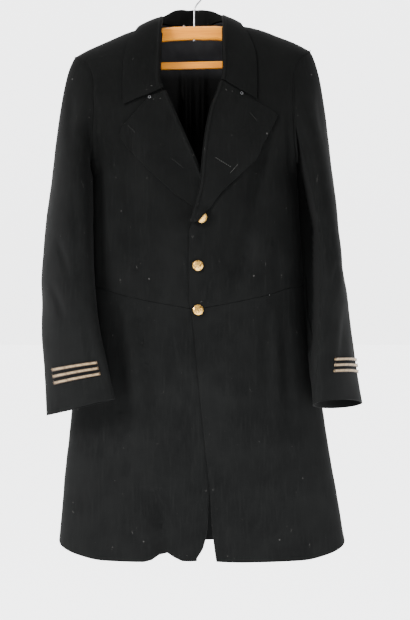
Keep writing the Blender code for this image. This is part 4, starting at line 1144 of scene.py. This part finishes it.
class Nodes:
    """Short calls for the nodes of one material."""

    def __init__(self, name, colour, roughness, metallic=0.0):
        self.material = bpy.data.materials.new(name)
        self.material.use_nodes = True
        self.tree = self.material.node_tree
        self.shader = self.tree.nodes["Principled BSDF"]
        self.set("Base Color", colour)
        self.set("Roughness", roughness)
        self.set("Metallic", metallic)

    def fill(self, socket, value):
        if isinstance(value, bpy.types.NodeSocket):
            self.tree.links.new(value, socket)
        else:
            socket.default_value = (*value, 1) if socket.type == "RGBA" else value

    def set(self, name, value):
        self.fill(self.shader.inputs[name], value)

    def add(self, kind, settings=None, **inputs):
        """Add a node; an input is given by its name, or by _ and its number."""
        node = self.tree.nodes.new(kind)
        for key, value in (settings or {}).items():
            setattr(node, key, value)
        for key, value in inputs.items():
            self.fill(node.inputs[int(key[1:]) if key[0] == "_" else key.replace("_", " ")], value)
        return node

    def flat(self):
        """Lengths along the cloth, in metres."""
        return self.add("ShaderNodeUVMap", {"uv_map": "cloth"}).outputs[0]

    def space(self):
        return self.add("ShaderNodeTexCoord").outputs["Object"]

    def part_of(self, vector, axis):
        return self.add("ShaderNodeSeparateXYZ", Vector=vector).outputs[axis]

    def stretched(self, vector, scale):
        return self.add("ShaderNodeMapping", Vector=vector, Scale=scale).outputs[0]

    def noise(self, vector, scale, detail=3.0, roughness=0.5):
        inputs = {"Vector": vector, "Scale": scale, "Detail": detail, "Roughness": roughness}
        return self.add("ShaderNodeTexNoise", **inputs).outputs["Fac"]

    def wave(self, vector, direction, scale, distortion=0.0):
        inputs = {"Vector": vector, "Scale": scale, "Distortion": distortion}
        return self.add("ShaderNodeTexWave", {"bands_direction": direction}, **inputs).outputs["Fac"]

    def math(self, operation, first, second=0.0):
        return self.add("ShaderNodeMath", {"operation": operation}, _0=first, _1=second).outputs[0]

    def move(self, operation, first, second):
        return self.add("ShaderNodeVectorMath", {"operation": operation}, _0=first, _1=second).outputs[0]

    def ramp(self, value, low, high, to_low=0.0, to_high=1.0):
        places = {"Value": value, "From_Min": low, "From_Max": high, "To_Min": to_low, "To_Max": to_high}
        return self.add("ShaderNodeMapRange", {"clamp": True}, **places).outputs["Result"]

    def blend(self, share, first, second):
        return self.add("ShaderNodeMix", {"data_type": "RGBA"}, _0=share, _6=first, _7=second).outputs[2]

    def bump(self, height, strength, distance, **before):
        inputs = {"Height": height, "Strength": strength, "Distance": distance, **before}
        return self.add("ShaderNodeBump", **inputs).outputs["Normal"]


# Wool: each tone at the shoulders and at the skirts; the change between them is painted shade at the
# shoulders and painted light on the skirts
WOOL_DARK = (0.0004, 0.0005, 0.0004), (0.0024, 0.0026, 0.0026)
WOOL_LIGHT = (0.0012, 0.0013, 0.0012), (0.0048, 0.0051, 0.0050)
WOOL_STREAK = (0.0022, 0.0023, 0.0022), (0.0062, 0.0065, 0.0063)
WOOL_GRAIN = (0.0038, 0.0039, 0.0038), (0.0076, 0.0078, 0.0076)
# Heights over which the painted shade of the shoulders gives way to the painted light of the skirts
WOOL_PAINTED_SHADE_HEIGHTS = -0.20, -0.78
WOOL_TALL = 1.0, 1.0, 0.06
LINT = 0.12, 0.116, 0.11
LINT_ASTRAY = 0.006, 0.006, 0.0
LINING_MOTTLE = (0.012, 0.0122, 0.0135), (0.021, 0.021, 0.0225)
# Lining: painted shade down the inside of the back, and deeper painted shade further down
LINING_PAINTED_SHADE = 0.0022, 0.0022, 0.0021
LINING_PAINTED_DEEP_SHADE = 0.0001, 0.00012, 0.0001
LACE_BRIGHT = 0.30, 0.21, 0.11
LACE_TARNISH = 0.045, 0.024, 0.010
LACE_BORDER = 0.028, 0.014, 0.006
GILT = (0.62, 0.37, 0.10), (0.13, 0.065, 0.016)
STEEL = 0.16, 0.16, 0.165
BEECH = (0.56, 0.20, 0.003), (0.43, 0.135, 0.002)
BEECH_BAND = 0.62, 0.25, 0.006
BEECH_LONG = 0.06, 1.0, 1.0
TAPE = (0.28, 0.21, 0.17), (0.5, 0.43, 0.36)
FLOOR_COLOUR = 0.97, 0.97, 0.97
ROOM_COLOUR = 0.985, 0.99, 1.0


def lint_of(nodes, flat):
    """Share of pale lint: small stray specks and a few hairs."""
    stir = nodes.add("ShaderNodeTexNoise", Vector=flat, Scale=400.0, Detail=2.0).outputs["Color"]
    astray = nodes.move("ADD", flat, nodes.move("MULTIPLY", stir, LINT_ASTRAY))
    specks = nodes.add("ShaderNodeTexVoronoi", Vector=astray, Scale=80.0)
    near = nodes.ramp(specks.outputs["Distance"], 0.07, 0.03)
    pick = nodes.add("ShaderNodeSeparateColor", Color=specks.outputs["Color"]).outputs[0]
    speck = nodes.math("MULTIPLY", near, nodes.ramp(pick, 0.84, 0.95))
    thread = nodes.math("ABSOLUTE", nodes.math("SUBTRACT", nodes.noise(flat, 26.0, 3.0), 0.5))
    where = nodes.ramp(nodes.noise(flat, 60.0, 1.0), 0.7, 0.78)
    hair = nodes.math("MULTIPLY", nodes.ramp(thread, 0.004, 0.001), where)
    return nodes.math("MULTIPLY", nodes.math("MAXIMUM", speck, hair), 0.8)


def wool():
    """Black twill, with painted shade that is blackest at the shoulders and painted light on the skirts, and
    slow mottles, faint streaks, grain and lint.
    """
    nodes = Nodes("wool_cloth_fine", WOOL_LIGHT[1], 0.85)
    flat, space = nodes.flat(), nodes.space()
    # Painted shade and light: every tone is darkest at the shoulders and paler down to the skirts, by height
    lower = nodes.ramp(nodes.part_of(space, "Z"), *WOOL_PAINTED_SHADE_HEIGHTS)
    dark, light, streaked, grained = (
        nodes.blend(lower, *shades) for shades in (WOOL_DARK, WOOL_LIGHT, WOOL_STREAK, WOOL_GRAIN)
    )
    mottle = nodes.noise(space, 14.0, 4.0, 0.6)
    streak = nodes.noise(nodes.stretched(space, WOOL_TALL), 330.0, 3.0, 0.6)
    grain = nodes.noise(flat, 900.0, 2.0, 0.7)
    colour = nodes.blend(nodes.ramp(mottle, 0.35, 0.7), dark, light)
    colour = nodes.blend(nodes.ramp(streak, 0.5, 0.85), colour, streaked)
    colour = nodes.blend(nodes.ramp(grain, 0.5, 0.8), colour, grained)
    nodes.set("Base Color", nodes.blend(lint_of(nodes, flat), colour, LINT))
    nodes.set("Sheen Weight", 0.008)
    nodes.set("Sheen Roughness", 0.5)
    nodes.set("Specular IOR Level", 0.05)
    twill = nodes.wave(flat, "DIAGONAL", 300.0)
    nodes.set("Normal", nodes.bump(twill, 0.12, 0.0002, Normal=nodes.bump(grain, 0.25, 0.0004)))
    return nodes.material


def satin_lining():
    """Dark satin with painted shade that darkens it down the inside of the back."""
    nodes = Nodes("lining_satin_fine", LINING_PAINTED_SHADE, 0.4)
    flat = nodes.flat()
    height = nodes.part_of(nodes.space(), "Z")
    colour = nodes.blend(nodes.ramp(nodes.noise(flat, 30.0, 3.0), 0.3, 0.7), *LINING_MOTTLE)
    # Painted shade: darker below the collar, darkest deeper inside the back
    colour = nodes.blend(nodes.ramp(height, -0.150, -0.175), colour, LINING_PAINTED_SHADE)
    nodes.set("Base Color", nodes.blend(nodes.ramp(height, -0.20, -0.29), colour, LINING_PAINTED_DEEP_SHADE))
    nodes.set("Normal", nodes.bump(nodes.noise(flat, 120.0, 2.0), 0.2, 0.0008))
    nodes.set("Specular IOR Level", 0.03)
    return nodes.material


def braid():
    """Tarnished gilt braid with a brown border on both sides."""
    nodes = Nodes("gilt_lace_fine", LACE_BRIGHT, 0.5, 0.35)
    flat = nodes.flat()
    half = LACE_HALF_WIDTH * MM
    colour = nodes.blend(nodes.ramp(nodes.noise(flat, 130.0, 4.0, 0.7), 0.45, 0.7), LACE_BRIGHT, LACE_TARNISH)
    off = nodes.math("ABSOLUTE", nodes.math("SUBTRACT", nodes.part_of(flat, "Y"), half))
    nodes.set("Base Color", nodes.blend(nodes.ramp(off, half * 0.45, half * 0.8), colour, LACE_BORDER))
    nodes.set("Normal", nodes.bump(nodes.wave(flat, "X", 260.0, 2.0), 0.8, 0.0005))
    return nodes.material


def gilt():
    nodes = Nodes("gilt_brass_fine", GILT[0], 0.28, 1.0)
    spots = nodes.noise(nodes.space(), 190.0, 4.0, 0.65)
    nodes.set("Base Color", nodes.blend(nodes.ramp(spots, 0.5, 0.62), *GILT))
    nodes.set("Roughness", nodes.ramp(spots, 0.4, 0.7, 0.24, 0.6))
    nodes.set("Normal", nodes.bump(spots, 0.35, 0.0006))
    return nodes.material


def steel():
    nodes = Nodes("steel_wire_fine", STEEL, 0.3, 1.0)
    nodes.set("Roughness", nodes.ramp(nodes.noise(nodes.space(), 300.0), 0.3, 0.7, 0.2, 0.4))
    return nodes.material


def beech():
    """Beech with its grain along the hanger."""
    nodes = Nodes("beech_wood_fine", BEECH[0], 0.4)
    long = nodes.stretched(nodes.space(), BEECH_LONG)
    grain = nodes.noise(long, 260.0, 5.0, 0.6)
    band = nodes.noise(long, 60.0, 2.0, 0.5)
    colour = nodes.blend(nodes.ramp(grain, 0.3, 0.7), *BEECH)
    nodes.set("Base Color", nodes.blend(nodes.ramp(band, 0.5, 0.8), colour, BEECH_BAND))
    nodes.set("Roughness", nodes.ramp(grain, 0.3, 0.7, 0.32, 0.5))
    nodes.set("Coat Weight", 0.1)
    nodes.set("Specular IOR Level", 0.25)
    nodes.set("Normal", nodes.bump(grain, 0.15, 0.0004))
    return nodes.material


def loop_tape():
    nodes = Nodes("loop_tape_fine", TAPE[0], 0.7)
    flat = nodes.flat()
    nodes.set("Base Color", nodes.blend(nodes.noise(flat, 200.0), *TAPE))
    nodes.set("Normal", nodes.bump(nodes.wave(flat, "Y", 350.0), 0.5, 0.0003))
    return nodes.material


def dress_node(node, material):
    """A CAD node that stays in view takes a finished material."""
    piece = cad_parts[node]
    piece.data.materials.clear()
    piece.data.materials.append(material)


# Hand sewing on the lapels: runs of small beads of thread
Stitch = namedtuple("Stitch", "name side x_from z_from x_to z_to radius colour")
STITCHES = rows_of(Stitch, (
    ("buttonhole_left_upper", LEFT, 40, -340, 65, -355, 0.75, "pale"),
    ("buttonhole_left_lower", LEFT, 78, -352, 66, -366, 0.6, "pale"),
    ("buttonhole_right_upper", RIGHT, -38, -342, -20, -356, 0.6, "dim"),
    ("corner_row_left", LEFT, 101, -258, 113, -272, 0.5, "dim"),
    ("corner_row_right", RIGHT, -106, -293, -118, -281, 0.5, "dim"),
))
THREADS = {"pale": (0.035, 0.035, 0.033), "dim": (0.016, 0.016, 0.015)}
STITCH_BEADS = 9
STITCH_LONG = 1.7
STITCH_SUNK = 0.4


def lapel_spot(side, x, z):
    """Nearest corner of the lapel's lying part to a spot seen from the front."""
    grid = LAPEL_GRIDS[side][LAPEL_LYING_FROM:]
    away = (grid[:, :, 0] - x) ** 2 + (grid[:, :, 2] - z) ** 2
    return Vector(grid[np.unravel_index(np.argmin(away), away.shape)])


def build_stitches():
    """Worked buttonholes and short rows of hand stitches."""
    for stitch in STITCHES:
        mesh = bpy.data.meshes.new(stitch.name)
        body = bmesh.new()
        slope = math.atan2(stitch.z_to - stitch.z_from, stitch.x_to - stitch.x_from)
        for share in steps(0, 1, STITCH_BEADS - 1):
            x, z = mix(stitch.x_from, stitch.x_to, share), mix(stitch.z_from, stitch.z_to, share)
            depth = lapel_spot(stitch.side, x, z).y - stitch.radius * STITCH_SUNK
            ball = bmesh.ops.create_icosphere(body, subdivisions=1, radius=stitch.radius * MM)["verts"]
            for vert in ball:
                along = vert.co.x * STITCH_LONG
                vert.co = Vector((
                    x * MM + along * math.cos(slope) - vert.co.z * math.sin(slope),
                    depth * MM + vert.co.y,
                    z * MM + along * math.sin(slope) + vert.co.z * math.cos(slope),
                ))
        body.to_mesh(mesh)
        body.free()
        thread = Nodes("thread_" + stitch.name, THREADS[stitch.colour], 0.9)
        thread.set("Specular IOR Level", 0.1)
        add_piece(stitch.name, mesh, thread.material, [])


# Stage, light and camera, in metres
FLOOR = -1.75
FLOOR_HALF = 40.0
FLOOR_GLOW = 1.6
ROOM_BACK = (-0.4, 0.7, 0.45, 4.0)
ROOM_ABOVE = (0.0, 1.0, 0.0, 1.4)
ROOM_GLOWS = (("Y", ROOM_BACK, "SMOOTHSTEP"), ("Z", ROOM_ABOVE, "LINEAR"))
Light = namedtuple("Light", "name place target size power")
LIGHTS = rows_of(Light, (
    ("key", (-2.1, -1.9, 1.0), (0, 0, -0.55), (1.1, 1.0), 200),
    ("fill", (1.9, -2.0, 0.2), (0, 0, -0.6), (1.2, 1.2), 24),
))
CAMERA_PLACE = 0.020, -2.4, -0.612
CAMERA_LENS = 75.3
CAMERA_SENSOR = 36


def build_stage():
    """A pale floor that glows a little, so that it is as bright as the room."""
    half = FLOOR_HALF
    corners = [(-half, -half, FLOOR), (half, -half, FLOOR), (half, half, FLOOR), (-half, half, FLOOR)]
    mesh = bpy.data.meshes.new("floor")
    mesh.from_pydata(corners, [], [(0, 1, 2, 3)])
    nodes = Nodes("pale_floor", FLOOR_COLOUR, 1.0)
    nodes.set("Specular IOR Level", 0.0)
    nodes.set("Emission Color", ROOM_COLOUR)
    nodes.set("Emission Strength", FLOOR_GLOW)
    mesh.materials.append(nodes.material)
    floor = bpy.data.objects.new("floor", mesh)
    bpy.context.scene.collection.objects.link(floor)


def add_area(name, place, target, size, power):
    light = bpy.data.lights.new(name, "AREA")
    light.shape = "RECTANGLE"
    light.size, light.size_y = size
    light.energy = power
    lamp = bpy.data.objects.new(name, light)
    lamp.location = place
    lamp.rotation_euler = (Vector(target) - Vector(place)).to_track_quat("-Z", "Y").to_euler()
    bpy.context.scene.collection.objects.link(lamp)


def build_world():
    """A white room: brightest behind and above the coat, quieter in front of it."""
    world = bpy.data.worlds.new("studio")
    world.use_nodes = True
    tree = world.node_tree
    background = tree.nodes["Background"]
    background.inputs["Color"].default_value = (*ROOM_COLOUR, 1)
    way = tree.nodes.new("ShaderNodeTexCoord")
    parts = tree.nodes.new("ShaderNodeSeparateXYZ")
    tree.links.new(way.outputs["Generated"], parts.inputs[0])
    total = tree.nodes.new("ShaderNodeMath")
    for number, (axis, span, manner) in enumerate(ROOM_GLOWS):
        glow = tree.nodes.new("ShaderNodeMapRange")
        glow.interpolation_type = manner
        for name, value in zip(("From Min", "From Max", "To Min", "To Max"), span):
            glow.inputs[name].default_value = value
        tree.links.new(parts.outputs[axis], glow.inputs["Value"])
        tree.links.new(glow.outputs["Result"], total.inputs[number])
    tree.links.new(total.outputs[0], background.inputs["Strength"])
    bpy.context.scene.world = world


def build_camera():
    camera = bpy.data.cameras.new("camera")
    camera.lens = CAMERA_LENS
    camera.sensor_width = CAMERA_SENSOR
    eye = bpy.data.objects.new("camera", camera)
    eye.location = CAMERA_PLACE
    eye.rotation_euler = (math.radians(90), 0, 0)
    bpy.context.scene.collection.objects.link(eye)
    bpy.context.scene.camera = eye


def main():
    cloth = wool()
    build_body(cloth)
    build_lapels(cloth)
    build_collar(cloth, loop_tape())
    build_lining(satin_lining())
    build_sleeves(cloth)
    build_lace(braid())
    for material, nodes in (
        (gilt(), ("button_top", "button_middle", "button_bottom")),
        (steel(), ("collar_hook", "collar_eye", "hanger_hook", "hanger_nut")),
        (beech(), ("hanger_shoulders", "hanger_trouser_bar")),
    ):
        for node in nodes:
            dress_node(node, material)
    build_stitches()
    build_stage()
    build_world()
    for light in LIGHTS:
        add_area(*light)
    build_camera()


main()
